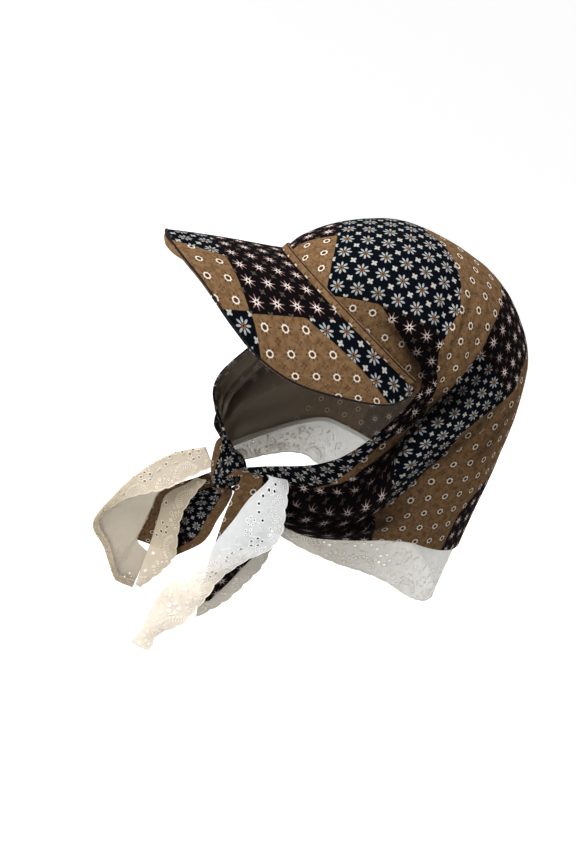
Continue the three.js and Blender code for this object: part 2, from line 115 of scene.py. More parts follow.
# Uneven cloth: a sum of waves of seeded directions and phases, each with its length in millimetres.
def unevenness(points, longest, shortest, seed, waves=24):
    rng = np.random.default_rng(seed)
    length = np.geomspace(longest, shortest, waves)
    direction = unit(rng.normal(size=(waves, 3)))
    phase = rng.uniform(0, 2 * np.pi, waves)
    total = np.sin(points @ (direction / length[:, None]).T * 2 * np.pi + phase)
    return (total * length / longest).sum(-1) / np.sqrt(waves)


# Camera: looks along its azimuth and elevation, then turns about its own line of sight. Its ways are
# the picture's right, the picture's up and the way towards the camera.
camera = dict(eye=(729.08, -493.47, 172.94), azimuth=57.404, elevation=16.712, roll=32.876, lens=54.75)


def stand(made, spot, side, back):  # puts a camera or lamp at a spot, facing away from its back
    turn = Matrix(np.column_stack([side, np.cross(back, side), back]).tolist()).to_4x4()
    turn.translation = spot
    made.matrix_world = turn
    bpy.context.scene.collection.objects.link(made)


def makeCamera():
    a, e, r = np.radians([camera["azimuth"], camera["elevation"], camera["roll"]])
    back = np.array([np.sin(a) * np.cos(e), -np.cos(a) * np.cos(e), np.sin(e)])
    right = np.array([np.cos(a), np.sin(a), 0])
    up = np.cross(back, right)
    side = right * np.cos(r) + up * np.sin(r)
    data = bpy.data.cameras.new("photoCamera")
    data.lens, data.sensor_width = camera["lens"], 36
    data.clip_start, data.clip_end = 0.05, 60
    made = bpy.data.objects.new("photoCamera", data)
    stand(made, toFrame(camera["eye"]), side, back)
    bpy.context.scene.camera = made
    return np.array([side, np.cross(back, side), back])


# Quads of a grid of points, rows by columns, in the order that faces du x dv.
def gridFaces(rows, cols):
    i, j = np.meshgrid(np.arange(rows - 1), np.arange(cols - 1), indexing="ij")
    first = i * cols + j
    return np.stack([first, first + cols, first + cols + 1, first + 1], -1).reshape(-1, 4)


# A piece from points in millimetres and faces, with named values on its points.
def makePiece(name, points, faces, materials, fields=None, slots=None):
    mesh = bpy.data.meshes.new(name)
    mesh.from_pydata(toFrame(points.reshape(-1, 3)).tolist(), [], faces.tolist())
    for key, values in (fields or {}).items():
        values = np.asarray(values, np.float32)
        isVector = values.shape[-1] == 3 and values.ndim > points.ndim - 1
        named = mesh.attributes.new(key, "FLOAT_VECTOR" if isVector else "FLOAT", "POINT")
        named.data.foreach_set("vector" if isVector else "value", values.ravel())
    for material in materials:
        mesh.materials.append(material)
    if slots is not None:
        mesh.polygons.foreach_set("material_index", np.asarray(slots, np.int32).ravel())
    mesh.polygons.foreach_set("use_smooth", np.ones(len(mesh.polygons), bool))
    mesh.validate(clean_customdata=False)
    mesh.update()
    made = bpy.data.objects.new(name, mesh)
    bpy.context.scene.collection.objects.link(made)
    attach(made, "root")
    return made


def thicken(piece, millimetres, reverseSlot=0):  # the grid is the middle of the cloth
    solid = piece.modifiers.new("cloth", "SOLIDIFY")
    solid.thickness = millimetres / 1000
    solid.offset = 0
    solid.use_quality_normals = True
    solid.material_offset = reverseSlot


# Shaders are written with these few functions: each adds a node and gives back one output.
def asInput(tree, socket, value):
    if isinstance(value, bpy.types.NodeSocket):
        tree.links.new(value, socket)
    else:
        socket.default_value = value


def shade(tree, kind, *inputs, out=0, **settings):  # one node with its inputs, gives an output
    node = tree.nodes.new("ShaderNode" + kind)
    for key, value in settings.items():
        setattr(node, key, value)
    for slot, value in enumerate(inputs):
        if value is not None:
            asInput(tree, node.inputs[slot], value)
    return node.outputs[out]


def calc(tree, operation, *inputs, clamp=False):
    return shade(tree, "Math", *inputs, operation=operation, use_clamp=clamp)


def vector(tree, operation, *inputs, out=0):
    return shade(tree, "VectorMath", *inputs, operation=operation, out=out)


def step(tree, value, low, high, a=0.0, b=1.0):  # smooth step from a to b
    return shade(tree, "MapRange", value, low, high, a, b, interpolation_type="SMOOTHSTEP")


def blend(tree, factor, a, b, kind="RGBA"):  # colours, or with the kind VECTOR vectors
    first, out = dict(RGBA=(6, 2), VECTOR=(4, 1))[kind]
    node = tree.nodes.new("ShaderNodeMix")
    node.data_type = kind
    for slot, value in ((0, factor), (first, a), (first + 1, b)):
        asInput(tree, node.inputs[slot], value)
    return node.outputs[out]


def attribute(tree, name, out="Fac"):
    node = tree.nodes.new("ShaderNodeAttribute")
    node.attribute_name = name
    return node.outputs[out]


# A node group with named inputs and outputs. Its maker gets the tree and the inputs by name and
# gives back one socket for each output.
def makeGroup(name, inputs, outputs, maker):
    tree = bpy.data.node_groups.new(name, "ShaderNodeTree")
    for key, kind, value in inputs:
        socket = tree.interface.new_socket(key, in_out="INPUT", socket_type="NodeSocket" + kind)
        if value is not None:
            socket.default_value = value
    for key, kind in outputs:
        tree.interface.new_socket(key, in_out="OUTPUT", socket_type="NodeSocket" + kind)
    start, end = tree.nodes.new("NodeGroupInput"), tree.nodes.new("NodeGroupOutput")
    found = maker(tree, {key: start.outputs[key] for key, _, _ in inputs})
    for (key, _), socket in zip(outputs, found):
        tree.links.new(socket, end.inputs[key])
    return tree


def place(tree, group, out=0, **inputs):  # puts a group in a tree; input names have no spaces
    node = tree.nodes.new("ShaderNodeGroup")
    node.node_tree = group
    for key, value in inputs.items():
        asInput(tree, node.inputs[key], value)
    return node.outputs[out]


def xyOf(tree, value):  # the first two parts of a vector
    split = tree.nodes.new("ShaderNodeSeparateXYZ")
    tree.links.new(value, split.inputs[0])
    return split.outputs[0], split.outputs[1]


# Distance from the middle of the nearest cell, in cells, and the direction as a share of a turn.
def motifMaker(tree, given):
    shifted = vector(tree, "ADD", given["Cells"], given["Shift"])
    local = vector(tree, "SUBTRACT", vector(tree, "FRACTION", shifted), (0.5, 0.5, 0))
    flat = vector(tree, "MULTIPLY", local, (1, 1, 0))
    x, y = xyOf(tree, flat)
    angle = calc(tree, "ARCTAN2", y, x)
    return vector(tree, "LENGTH", flat, out=1), calc(tree, "DIVIDE", angle, 2 * np.pi)


cellsInput = [("Cells", "Vector", None)]
motifOutputs = [("Radius", "Float"), ("Turn", "Float")]
motif = makeGroup("motif", cellsInput + [("Shift", "Vector", None)], motifOutputs, motifMaker)


# Petals round a centre: the direction folds into one wedge, and an ellipse along the wedge's middle
# is filled where ((along - middle) / half length)^2 + (across / half width)^2 is under 1.
def petalMaker(tree, given):
    wedge = calc(tree, "MULTIPLY_ADD", given["Turn"], given["Count"], given["Twist"])
    wedge = calc(tree, "SUBTRACT", calc(tree, "FRACT", calc(tree, "ADD", wedge, 20.5)), 0.5)
    angle = calc(tree, "DIVIDE", calc(tree, "MULTIPLY", wedge, 2 * np.pi), given["Count"])
    lengthwise = calc(tree, "MULTIPLY", given["Radius"], calc(tree, "COSINE", angle))
    across = calc(tree, "MULTIPLY", given["Radius"], calc(tree, "SINE", angle))
    middle = calc(tree, "MULTIPLY", calc(tree, "ADD", given["Start"], given["End"]), 0.5)
    half = calc(tree, "MULTIPLY", calc(tree, "SUBTRACT", given["End"], given["Start"]), 0.5)
    a = calc(tree, "POWER", calc(tree, "DIVIDE", calc(tree, "SUBTRACT", lengthwise, middle), half), 2.0)
    b = calc(tree, "POWER", calc(tree, "DIVIDE", across, given["Width"]), 2.0)
    return [step(tree, calc(tree, "ADD", a, b), 1.25, 0.75)]


petalNames = "Radius Turn Count Twist Start End Width".split()
petalInputs = [(key, "Float", 0.0) for key in petalNames]
petals = makeGroup("petals", petalInputs, [("Mask", "Float")], petalMaker)


def rays(tree, at, count, start, end, width, twist=0.0):  # petals of a motif at (radius, turn)
    shape = dict(Count=count, Twist=twist, Start=start, End=end, Width=width)
    return place(tree, petals, Radius=at[0], Turn=at[1], **shape)


def bothMotifs(tree, cells):  # (radius, turn) of the main motif, then of the small one between them
    found = []
    for shift in ((0, 0, 0), (0.5, 0.5, 0)):
        radius = place(tree, motif, Cells=cells, Shift=shift)
        found.append((radius, radius.node.outputs["Turn"]))
    return found


def ring(tree, radius, low, high, soft=0.018):  # 1 between two radii
    inner = step(tree, radius, low - soft, low + soft)
    return calc(tree, "MULTIPLY", inner, step(tree, radius, high + soft, high - soft))


tanPrint = dict(
    ground=(0.215, 0.127, 0.062, 1),
    mottle=(0.150, 0.082, 0.038, 1),
    ink=(0.040, 0.019, 0.010, 1),
    ring=(0.80, 0.73, 0.62, 1),
)
navyPrint = dict(
    ground=(0.0018, 0.0028, 0.0052, 1),
    petal=(0.36, 0.385, 0.385, 1),
    heart=(0.19, 0.090, 0.042, 1),
    cross=(0.47, 0.46, 0.42, 1),
)
blackPrint = dict(
    ground=(0.0036, 0.0028, 0.0034, 1),
    ray=(0.24, 0.130, 0.120, 1),
    light=(0.76, 0.69, 0.63, 1),
    cross=(0.090, 0.070, 0.055, 1),
)


# Cream rings with a dotted heart and eight short spokes, on mottled tan.
def tanMaker(tree, given):
    main, small = bothMotifs(tree, given["Cells"])
    mottle = shade(tree, "TexNoise", given["Cells"], None, 3.5, 3.0, 0.6)
    ground = blend(tree, step(tree, mottle, 0.38, 0.62), tanPrint["ground"], tanPrint["mottle"])
    spokes = rays(tree, main, 8.0, 0.19, 0.335, 0.025)
    heart = rays(tree, main, 6.0, -0.02, 0.115, 0.026)
    spots = rays(tree, small, 4.0, 0.03, 0.17, 0.055)
    ink = calc(tree, "MULTIPLY", step(tree, main[0], 0.13, 0.09), 0.55)
    for mask, share in ((spots, 0.5), (spokes, 0.85), (heart, 0.9)):
        ink = calc(tree, "MAXIMUM", ink, calc(tree, "MULTIPLY", mask, share))
    wave = calc(tree, "COSINE", calc(tree, "MULTIPLY", main[1], 16 * np.pi))
    white = ring(tree, calc(tree, "ADD", main[0], calc(tree, "MULTIPLY", wave, 0.010)), 0.112, 0.172)
    return [blend(tree, white, blend(tree, ink, ground, tanPrint["ink"]), tanPrint["ring"])]


# Eight-petalled daisies with a rust heart and small four-petalled crosses, on navy.
def navyMaker(tree, given):
    main, small = bothMotifs(tree, given["Cells"])
    flower = rays(tree, main, 8.0, 0.12, 0.355, 0.050)
    cross = rays(tree, small, 4.0, 0.01, 0.165, 0.055, 0.5)
    colour = blend(tree, flower, navyPrint["ground"], navyPrint["petal"])
    colour = blend(tree, ring(tree, main[0], 0.04, 0.115, 0.012), colour, navyPrint["heart"])
    return [blend(tree, cross, colour, navyPrint["cross"])]


# Stars of eight thin rays, cream within and dusty pink at the tips, and faint crosses, on black.
def blackMaker(tree, given):
    main, small = bothMotifs(tree, given["Cells"])
    star = rays(tree, main, 8.0, 0.09, 0.37, 0.031)
    cross = rays(tree, small, 4.0, 0.01, 0.16, 0.045, 0.5)
    tip = blend(tree, step(tree, main[0], 0.14, 0.23), blackPrint["light"], blackPrint["ray"])
    colour = blend(tree, calc(tree, "MULTIPLY", cross, 0.8), blackPrint["ground"], blackPrint["cross"])
    colour = blend(tree, star, colour, tip)
    return [blend(tree, ring(tree, main[0], 0.06, 0.115, 0.012), colour, blackPrint["light"])]


tanGroup = makeGroup("tanRings", cellsInput, [("Colour", "Color")], tanMaker)
navyGroup = makeGroup("navyDaisies", cellsInput, [("Colour", "Color")], navyMaker)
blackGroup = makeGroup("blackStars", cellsInput, [("Colour", "Color")], blackMaker)


# The patchwork: the three prints at the same cells, chosen by the distances inside each patch's edge.
def calicoMaker(tree, given):
    cells = given["Cells"]
    navy = step(tree, given["NavyEdge"], -0.25, 0.25)
    tan = step(tree, given["TanEdge"], -0.25, 0.25)
    colour = blend(tree, navy, place(tree, blackGroup, Cells=cells), place(tree, navyGroup, Cells=cells))
    return [blend(tree, tan, colour, place(tree, tanGroup, Cells=cells))]


calicoInputs = cellsInput + [("TanEdge", "Float", -1.0), ("NavyEdge", "Float", -1.0)]
calicoGroup = makeGroup("calicoPatchwork", calicoInputs, [("Colour", "Color")], calicoMaker)


# Plain weave: threads both ways, as the sum of two sines, with a little slub.
def weaveMaker(tree, given):
    scaled = vector(tree, "SCALE", given["Vector"])
    tree.links.new(given["Threads"], scaled.node.inputs["Scale"])
    x, y = xyOf(tree, scaled)
    warp, weft = calc(tree, "SINE", x), calc(tree, "SINE", y)
    slub = shade(tree, "TexNoise", given["Vector"], None, 9.0, 2.0, 0.5)
    both = calc(tree, "MULTIPLY", calc(tree, "ADD", warp, weft), 0.25)
    return [calc(tree, "ADD", both, calc(tree, "MULTIPLY", slub, 0.8))]


weaveInputs = [("Vector", "Vector", None), ("Threads", "Float", 100.0)]
weaveGroup = makeGroup("plainWeave", weaveInputs, [("Height", "Float")], weaveMaker)


def newMaterial(name, roughness, sheen=0.0):
    made = bpy.data.materials.new(name)
    made.use_nodes = True
    shader = made.node_tree.nodes["Principled BSDF"]
    shader.inputs["Roughness"].default_value = roughness
    shader.inputs["Specular IOR Level"].default_value = 0.03
    shader.inputs["Sheen Weight"].default_value = sheen
    shader.inputs["Sheen Roughness"].default_value = 0.5
    return made, made.node_tree, shader


def addBump(tree, shader, height, distance):
    bump = tree.nodes.new("ShaderNodeBump")
    bump.inputs["Distance"].default_value = distance
    tree.links.new(height, bump.inputs["Height"])
    tree.links.new(bump.outputs[0], shader.inputs["Normal"])


# Printed cotton. The hood's cloth has cells for each of its four stretches, laid flat on their own.
# The veil is a tone over the print, by a share of its own and by the piece's painted shade value.
# On the hood's reverse the veil's own share is the paler back of the print; on the ties and the knot it
# is painted shade.
def calicoMaterial(name, hoodCloth=False, veilAndShade=0.0, veilAndShadeTone=(0.0015, 0.001, 0.0008, 1)):
    made, tree, shader = newMaterial(name, 0.9)
    cells = attribute(tree, "cells", "Vector")
    if hoodCloth:
        for key in ("stripe", "cape", "strap"):
            inside = step(tree, attribute(tree, key + "Edge"), -0.02, 0.02)
            cells = blend(tree, inside, cells, attribute(tree, key + "Cells", "Vector"), "VECTOR")
    edges = dict(TanEdge=attribute(tree, "tanEdge"), NavyEdge=attribute(tree, "navyEdge"))
    colour = place(tree, calicoGroup, Cells=cells, **edges)
    share = calc(tree, "ADD", attribute(tree, "paintedShade"), veilAndShade, clamp=True)
    tree.links.new(blend(tree, share, colour, veilAndShadeTone), shader.inputs["Base Color"])
    addBump(tree, shader, place(tree, weaveGroup, Vector=cells, Threads=150.0), 0.0002)
    return made


def addCloudedWeave(tree, shader, colour, dark):  # two tones in soft clouds, and a fine weave
    coords = shade(tree, "TexCoord", out=3)
    noise = shade(tree, "TexNoise", coords, None, 260.0, 4.0, 0.6)
    tree.links.new(blend(tree, step(tree, noise, 0.35, 0.65), colour, dark), shader.inputs["Base Color"])
    addBump(tree, shader, place(tree, weaveGroup, Vector=coords, Threads=9000.0), 0.0001)


def plainCotton(name, colour, dark):
    made, tree, shader = newMaterial(name, 0.9, 0.02)
    addCloudedWeave(tree, shader, colour, dark)
    return made


# Hood: a sheet over (u, v), u from the far knot end over the head to the near one, v from the face
# edge to the hem. A strand of constant v is a quarter ellipse over the head, then two cubics.
hoodSize = dict(sideShare=0.52, jawShare=0.76, thick=1.4, across=252, down=160, uneven=0.5, veilAndShade=0.35)
reverseTone = (0.20, 0.165, 0.125, 1)
clothU, clothV = 285, 250  # millimetres of cloth to a whole u and to a whole v, about
strands = columns("v topY topZ sideX sideY sideZ turn jawX jawY jawZ", [
    (0.00, -94, 20, 78, -13, -2, 14, 68, -27, -66), (0.08, -85, 38, 79, -11, 4, 14, 71, -22, -67),
    (0.16, -60, 61, 80, -10, 8, 16, 73, -18, -68), (0.25, -22, 77.5, 81, -5.5, 6.5, 20, 75, -14, -71),
    (0.38, 30, 77, 83, 0, -5, 24, 77, -9, -77), (0.50, 68, 62, 84, 8, -20, 34, 77, -4, -88),
    (0.62, 93, 38, 85, 24, -38, 40, 77, 0, -98), (0.80, 110, -20, 85, 40, -64, 46, 74, -2, -114),
    (1.00, 127, -95, 83, 54, -96, 60, 58, -8, -129),
])
ties = columns("v nearX nearY nearZ farX farY farZ farJawX farJawY farJawZ", [
    (0.0, 3.4, -44, -122, -24.4, -48, -122, 76, -55, -92),
    (0.5, 7.6, -43, -131, -28.8, -46, -131, 80, -34, -104),
    (1.0, 3.4, -44, -140, -26.2, -47, -140, 62, -20, -134),
])
folds = columns("v width height start stop", [
    (0.05, 0.020, 1.6, 0.28, 0.52), (0.11, 0.020, -1.5, 0.26, 0.50), (0.19, 0.040, 1.5, 0.26, 0.44),
    (0.20, 0.050, 1.5, 0.56, 0.92), (0.30, 0.035, -1.5, 0.34, 0.90), (0.425, 0.032, -4.0, 0.32, 0.90),
    (0.53, 0.060, 5.5, 0.20, 0.95), (0.68, 0.040, -2.4, 0.36, 0.84), (0.80, 0.060, 1.6, 0.50, 0.84),
])

# Creases run from (u0, v0) to (u1, v1): a bell across, in millimetres, that fades at both ends.
creases = columns("u0 v0 u1 v1 width height", [
    (0.30, 0.135, 0.50, 0.085, 4, -2.2), (0.36, 0.10, 0.50, 0.06, 3, 1.0),
    (0.20, 0.265, 0.48, 0.19, 3, -1.8), (0.20, 0.30, 0.46, 0.25, 6, 1.6),
    (0.15, 0.33, 0.48, 0.25, 2.5, -1.5), (0.27, 0.36, 0.42, 0.35, 2.5, -1.2),
    (0.20, 0.385, 0.42, 0.40, 3, -1.5), (0.25, 0.43, 0.60, 0.33, 4, -2.5),
    (0.20, 0.53, 0.60, 0.63, 3, 1.5), (0.20, 0.565, 0.60, 0.66, 3, -1.5),
])


def smoothHood(u, v):
    u, v = np.broadcast_arrays(np.asarray(u, float), np.asarray(v, float))
    share, far = np.abs(u), (u < 0)[..., None]
    at = {key: along(strands, "v", key, v) for key in strands}
    tie = {key: along(ties, "v", key, v) for key in ties}
    sideShare, jawShare = hoodSize["sideShare"], hoodSize["jawShare"]
    side = point(at["sideX"], at["sideY"], at["sideZ"])
    rise = point(0, at["topY"] - at["sideY"], at["topZ"] - at["sideZ"])
    angle = np.minimum(share / sideShare, 1) * np.pi / 2
    over = side * point(np.sin(angle), 1, 1) + rise * np.cos(angle)[..., None]
    farJaw = point(tie["farJawX"], tie["farJawY"], tie["farJawZ"])
    jaw = np.where(far, farJaw, point(at["jawX"], at["jawY"], at["jawZ"]))
    farEnd = point(-tie["farX"], tie["farY"], tie["farZ"])
    end = np.where(far, farEnd, point(tie["nearX"], tie["nearY"], tie["nearZ"]))
    leave = -unit(rise) * at["turn"][..., None]
    passing = 0.5 * (end - side)
    share = share[..., None]
    down = cubic(side, jaw, leave, passing, np.clip((share - sideShare) / (jawShare - sideShare), 0, 1))
    under = cubic(jaw, end, passing, end - jaw, np.clip((share - jawShare) / (1 - jawShare), 0, 1))
    made = np.where(share <= sideShare, over, np.where(share <= jawShare, down, under))
    made[..., 0] *= np.where(u < 0, -1, 1)
    return made


# Folds stand out from the sheet: each is a bell across v, and fades in and out along u.
def foldHeight(u, v):
    share = np.abs(u)
    total = 0
    for at, width, height, start, stop in zip(*folds.values()):
        window = ease(start, start + 0.16, share) * (1 - ease(stop - 0.08, stop, share))
        total = total + height * np.exp(-(((v - at) / width) ** 2)) * window
    return total


# Soft shadows lie in the valleys: the share of the print's colour that is lost.
shadows = columns("u0 v0 u1 v1 width height", [
    (0.14, 0.44, 0.64, 0.445, 8, 0.7), (0.38, 0.47, 0.80, 0.24, 9, 0.75),
    (0.28, 0.50, 0.62, 0.66, 8, 0.5), (0.24, 0.58, 0.44, 0.72, 8, 0.3),
    (0.27, 0.09, 0.50, 0.125, 5, 0.45), (0.33, 0.01, 0.50, 0.03, 3, 0.35),
    (0.33, 0.22, 0.56, 0.10, 10, 0.6), (0.17, 0.32, 0.48, 0.24, 3, 0.12),
    (0.15, 0.36, 0.48, 0.33, 2.5, 0.12), (0.66, 0.45, 0.95, 0.60, 8, 0.4),
    (0.55, 0.80, 0.90, 0.85, 12, 0.4),
])


# The sum of a table's bells. Distances are measured with the sheet's own millimetres per u and per v.
def alongLines(table, u, v):
    e = 0.01
    share = np.abs(u)
    lower = np.clip(np.asarray(v, float), e, 1 - e)
    perU = np.linalg.norm(smoothHood(share + e, lower) - smoothHood(share - e, lower), axis=-1) / (2 * e)
    perV = np.linalg.norm(smoothHood(share, lower + e) - smoothHood(share, lower - e), axis=-1) / (2 * e)
    total = 0
    for u0, v0, u1, v1, width, height in zip(*table.values()):
        wayU, wayV = (u1 - u0) * perU, (v1 - v0) * perV
        x, y = (share - u0) * perU, (v - v0) * perV
        t = (x * wayU + y * wayV) / (wayU**2 + wayV**2)
        off = (x * wayV - y * wayU) / np.hypot(wayU, wayV)
        fade = ease(0, 0.35, t) * (1 - ease(0.65, 1, t))
        total = total + height * np.exp(-((off / width) ** 2)) * fade
    return total


def hood(u, v):
    made = smoothHood(u, v)
    lift = foldHeight(u, v) + alongLines(creases, u, v)
    lift = lift + hoodSize["uneven"] * unevenness(made, 70, 16, 3)
    return made + outward(smoothHood, u, v) * lift[..., None]


# Lays a grid of points flat: springs along both ways of the grid and both diagonals relax from the
# first guess to their lengths in space. Gathered cloth is longer than its surface, lengthwise and
# across by the two fullness factors at each point.
def layFlat(grid, guess, lengthwise, across, rounds=1200):
    pairs = [
        (np.s_[1:, :], np.s_[:-1, :]),
        (np.s_[:, 1:], np.s_[:, :-1]),
        (np.s_[1:, 1:], np.s_[:-1, :-1]),
        (np.s_[1:, :-1], np.s_[:-1, 1:]),
    ]
    ahead = np.diff(grid, axis=0) * (lengthwise[1:] + lengthwise[:-1])[..., None] / 2
    beside = np.diff(grid, axis=1) * (across[:, 1:] + across[:, :-1])[..., None] / 2
    ways = [ahead, beside, ahead[:, :-1] + beside[1:], ahead[:, 1:] - beside[1:]]
    lengths = [np.linalg.norm(way, axis=-1, keepdims=True) for way in ways]
    flat = guess.copy()
    for _ in range(rounds):
        move, weight = np.zeros_like(flat), np.zeros(flat.shape[:2] + (1,))
        for (a, b), length in zip(pairs, lengths):
            gap = flat[a] - flat[b]
            now = np.maximum(np.linalg.norm(gap, axis=-1, keepdims=True), 1e-9)
            push = gap * (length - now) / now / (length + 0.5)
            move[a] += push
            move[b] -= push
            weight[a] += 1 / (length + 0.5)
            weight[b] += 1 / (length + 0.5)
        flat += 0.9 * move / weight
    return flat


printPitch = 13.0  # millimetres from motif to motif
# Stretches of the hood that are laid flat on their own: their range of v, a motif's place on them
# with its cell and the turn of its row from the direction of v, in degrees, and the fullness of the
# gathers lengthwise and across from the temples on.
stretches = dict(
    cells=dict(low=0.0, high=0.42, spot=(0.188, 0.138), cell=(2, -1), turn=31.1, full=(1.25, 1.2)),
    stripeCells=dict(low=0.0, high=0.62, spot=(0.25, 0.33), cell=(0, 0), turn=22, full=(1.15, 1.5)),
    capeCells=dict(low=0.46, high=1.0, spot=(0.42, 0.75), cell=(0, 0), turn=4, full=(1.0, 1.1)),
)


# Along the straps the print follows the middle strand, and its width across.
strapPrint = dict(across=12.0, lengthwise=12.5, shift=0.2)


def strapCells(u, v):
    us, vs = np.linspace(-1, 1, 201), np.linspace(0, 1, 21)
    grid = smoothHood(us[:, None], vs[None, :])
    width = gaps(grid, 1).sum(1)
    run = distanceAlong(grid[:, 10])
    run = np.abs(run - run[100])
    i = (v - 0.5) * np.interp(u, us, width) / strapPrint["across"] + strapPrint["shift"]
    return point(i, np.interp(u, us, run) / strapPrint["lengthwise"], 0)


def hoodCells(u, v, low, high, spot, cell, turn, full):
    rows, cols = 91, 15
    us, vs = np.linspace(-1, 1, rows), np.linspace(low, high, cols)
    grid = smoothHood(us[:, None], vs[None, :])
    behind = (1 - ease(0.38, 0.5, np.abs(us)))[:, None] * ease(0.38, 0.46, vs)  # fuller in the dark folds
    gather = ease(0.2, 0.5, np.abs(us))[:, None] * (1 + 0.9 * behind)
    guess = np.zeros((rows, cols, 2))
    guess[1:, :, 0] = gaps(grid, 0).cumsum(0)
    guess[:, :, 0] -= guess[rows // 2, :, 0]
    guess[:, 1:, 1] = gaps(grid, 1).cumsum(1)
    guess[:, :, 1] -= guess[:, cols // 2, 1][:, None]
    flat = layFlat(grid, guess, 1 + (full[0] - 1) * gather, 1 + (full[1] - 1) * gather)

    def read(a, b):  # straight between the grid's points
        x = np.clip((a + 1) / 2 * (rows - 1), 0, rows - 1.001)
        y = np.clip((b - low) / (high - low) * (cols - 1), 0, cols - 1.001)
        i, j = x.astype(int), y.astype(int)
        x, y = (x - i)[..., None], (y - j)[..., None]
        near = flat[i, j] * (1 - x) + flat[i + 1, j] * x
        return near * (1 - y) + (flat[i, j + 1] * (1 - x) + flat[i + 1, j + 1] * x) * y

    a, b = (np.array([value]) for value in spot)
    here = read(a, b)[0]
    ahead = read(a, b + 0.02)[0] - here
    angle = np.arctan2(ahead[0], ahead[1]) + np.radians(turn)
    rowWay = np.array([np.sin(angle), np.cos(angle)])
    downWay = np.array([np.cos(angle), -np.sin(angle)])
    offset = (read(u, v) - here) / printPitch
    made = np.zeros(u.shape + (3,))
    made[..., 0] = offset @ rowWay + cell[0] + 0.5
    made[..., 1] = offset @ downWay + cell[1] + 0.5
    return made


# Patches. The crown's edges run along the rows (j), the columns (i) and the diagonals (i - j) of the
# print; the distance inside a patch is the least of the distances to its edges.
def insideLines(cells, iLow=-99, iHigh=99, jLow=-99, jHigh=99, dLow=-99, dHigh=99):
    i, j = cells[..., 0] - 0.5, cells[..., 1] - 0.5
    d = (i - j) / np.sqrt(2)
    edges = [i - iLow, iHigh - i, j - jLow, jHigh - j, d - dLow / np.sqrt(2), dHigh / np.sqrt(2) - d]
    return np.minimum.reduce(edges) * printPitch


# The folded cloth's patches lie between two edges v = low and v = high, which follow a table over u.
def insideStripe(u, v, rows):
    at, low, high = np.array(rows, float).T
    share = np.abs(u)
    low, high = np.interp(share, at, low), np.interp(share, at, high)
    ends = np.minimum(share - at[0] + 0.02 * (at[0] == 0), at[-1] - share) * clothU
    return np.minimum(np.minimum(v - low, high - v) * clothV, ends)


def either(*distances):
    return np.maximum.reduce(distances)


crownMiddle = -4.3  # the print's column at the middle of the head
# Rows of share of the way to the knot, low edge and high edge.
tanStripe = [
    (0, 0.255, 0.42), (0.1, 0.275, 0.405), (0.21, 0.28, 0.39), (0.29, 0.273, 0.384),
    (0.37, 0.24, 0.388), (0.42, 0.22, 0.39), (0.48, 0.215, 0.385), (0.52, 0.28, 0.38),
    (0.56, 0.345, 0.37), (0.575, 0.355, 0.355),
]
thinStripe = [
    (0.60, 0.32, 0.32), (0.63, 0.26, 0.30), (0.66, 0.185, 0.265), (0.69, 0.13, 0.225),
    (0.735, 0.13, 0.205), (0.79, 0.205, 0.265), (0.83, 0.30, 0.33), (0.86, 0.37, 0.37),
]
darkStripe = [
    (0, 0.42, 0.56), (0.16, 0.39, 0.55), (0.318, 0.384, 0.552), (0.42, 0.39, 0.54),
    (0.485, 0.385, 0.585), (0.522, 0.38, 0.635), (0.575, 0.355, 0.665), (0.6, 0.32, 0.675),
    (0.66, 0.185, 0.69), (0.70, 0.15, 1.1), (1, 0.44, 1.1),
]
capeTan = [
    (0, 0.56, 0.80), (0.16, 0.55, 0.80), (0.30, 0.552, 0.818), (0.338, 0.548, 0.835),
    (0.38, 0.542, 0.865), (0.403, 0.54, 0.907), (0.412, 0.54, 1.1), (0.455, 0.55, 1.1),
    (0.482, 0.58, 1.1), (0.53, 0.635, 1.1), (0.598, 0.675, 1.1), (0.618, 0.682, 1.1),
    (0.63, 0.685, 0.96), (0.67, 0.69, 0.777), (0.683, 0.69, 0.71), (0.69, 0.695, 0.695),
]
farTan = [
    (0.76, 0.60, 1.1), (0.77, 0.608, 1.1), (0.815, 0.667, 1.1), (0.895, 0.743, 1.1),
    (0.953, 0.878, 1.1), (1.02, 0.885, 1.1),
]
frontPatch = [
    (0.13, -0.1, -0.03), (0.19, -0.1, 0.03), (0.225, -0.1, 0.065), (0.265, -0.1, 0.105),
    (0.35, -0.1, 0.108), (0.42, -0.1, 0.114), (0.465, -0.1, 0.125), (0.5, -0.1, 0.085),
    (0.53, -0.1, 0.0),
]


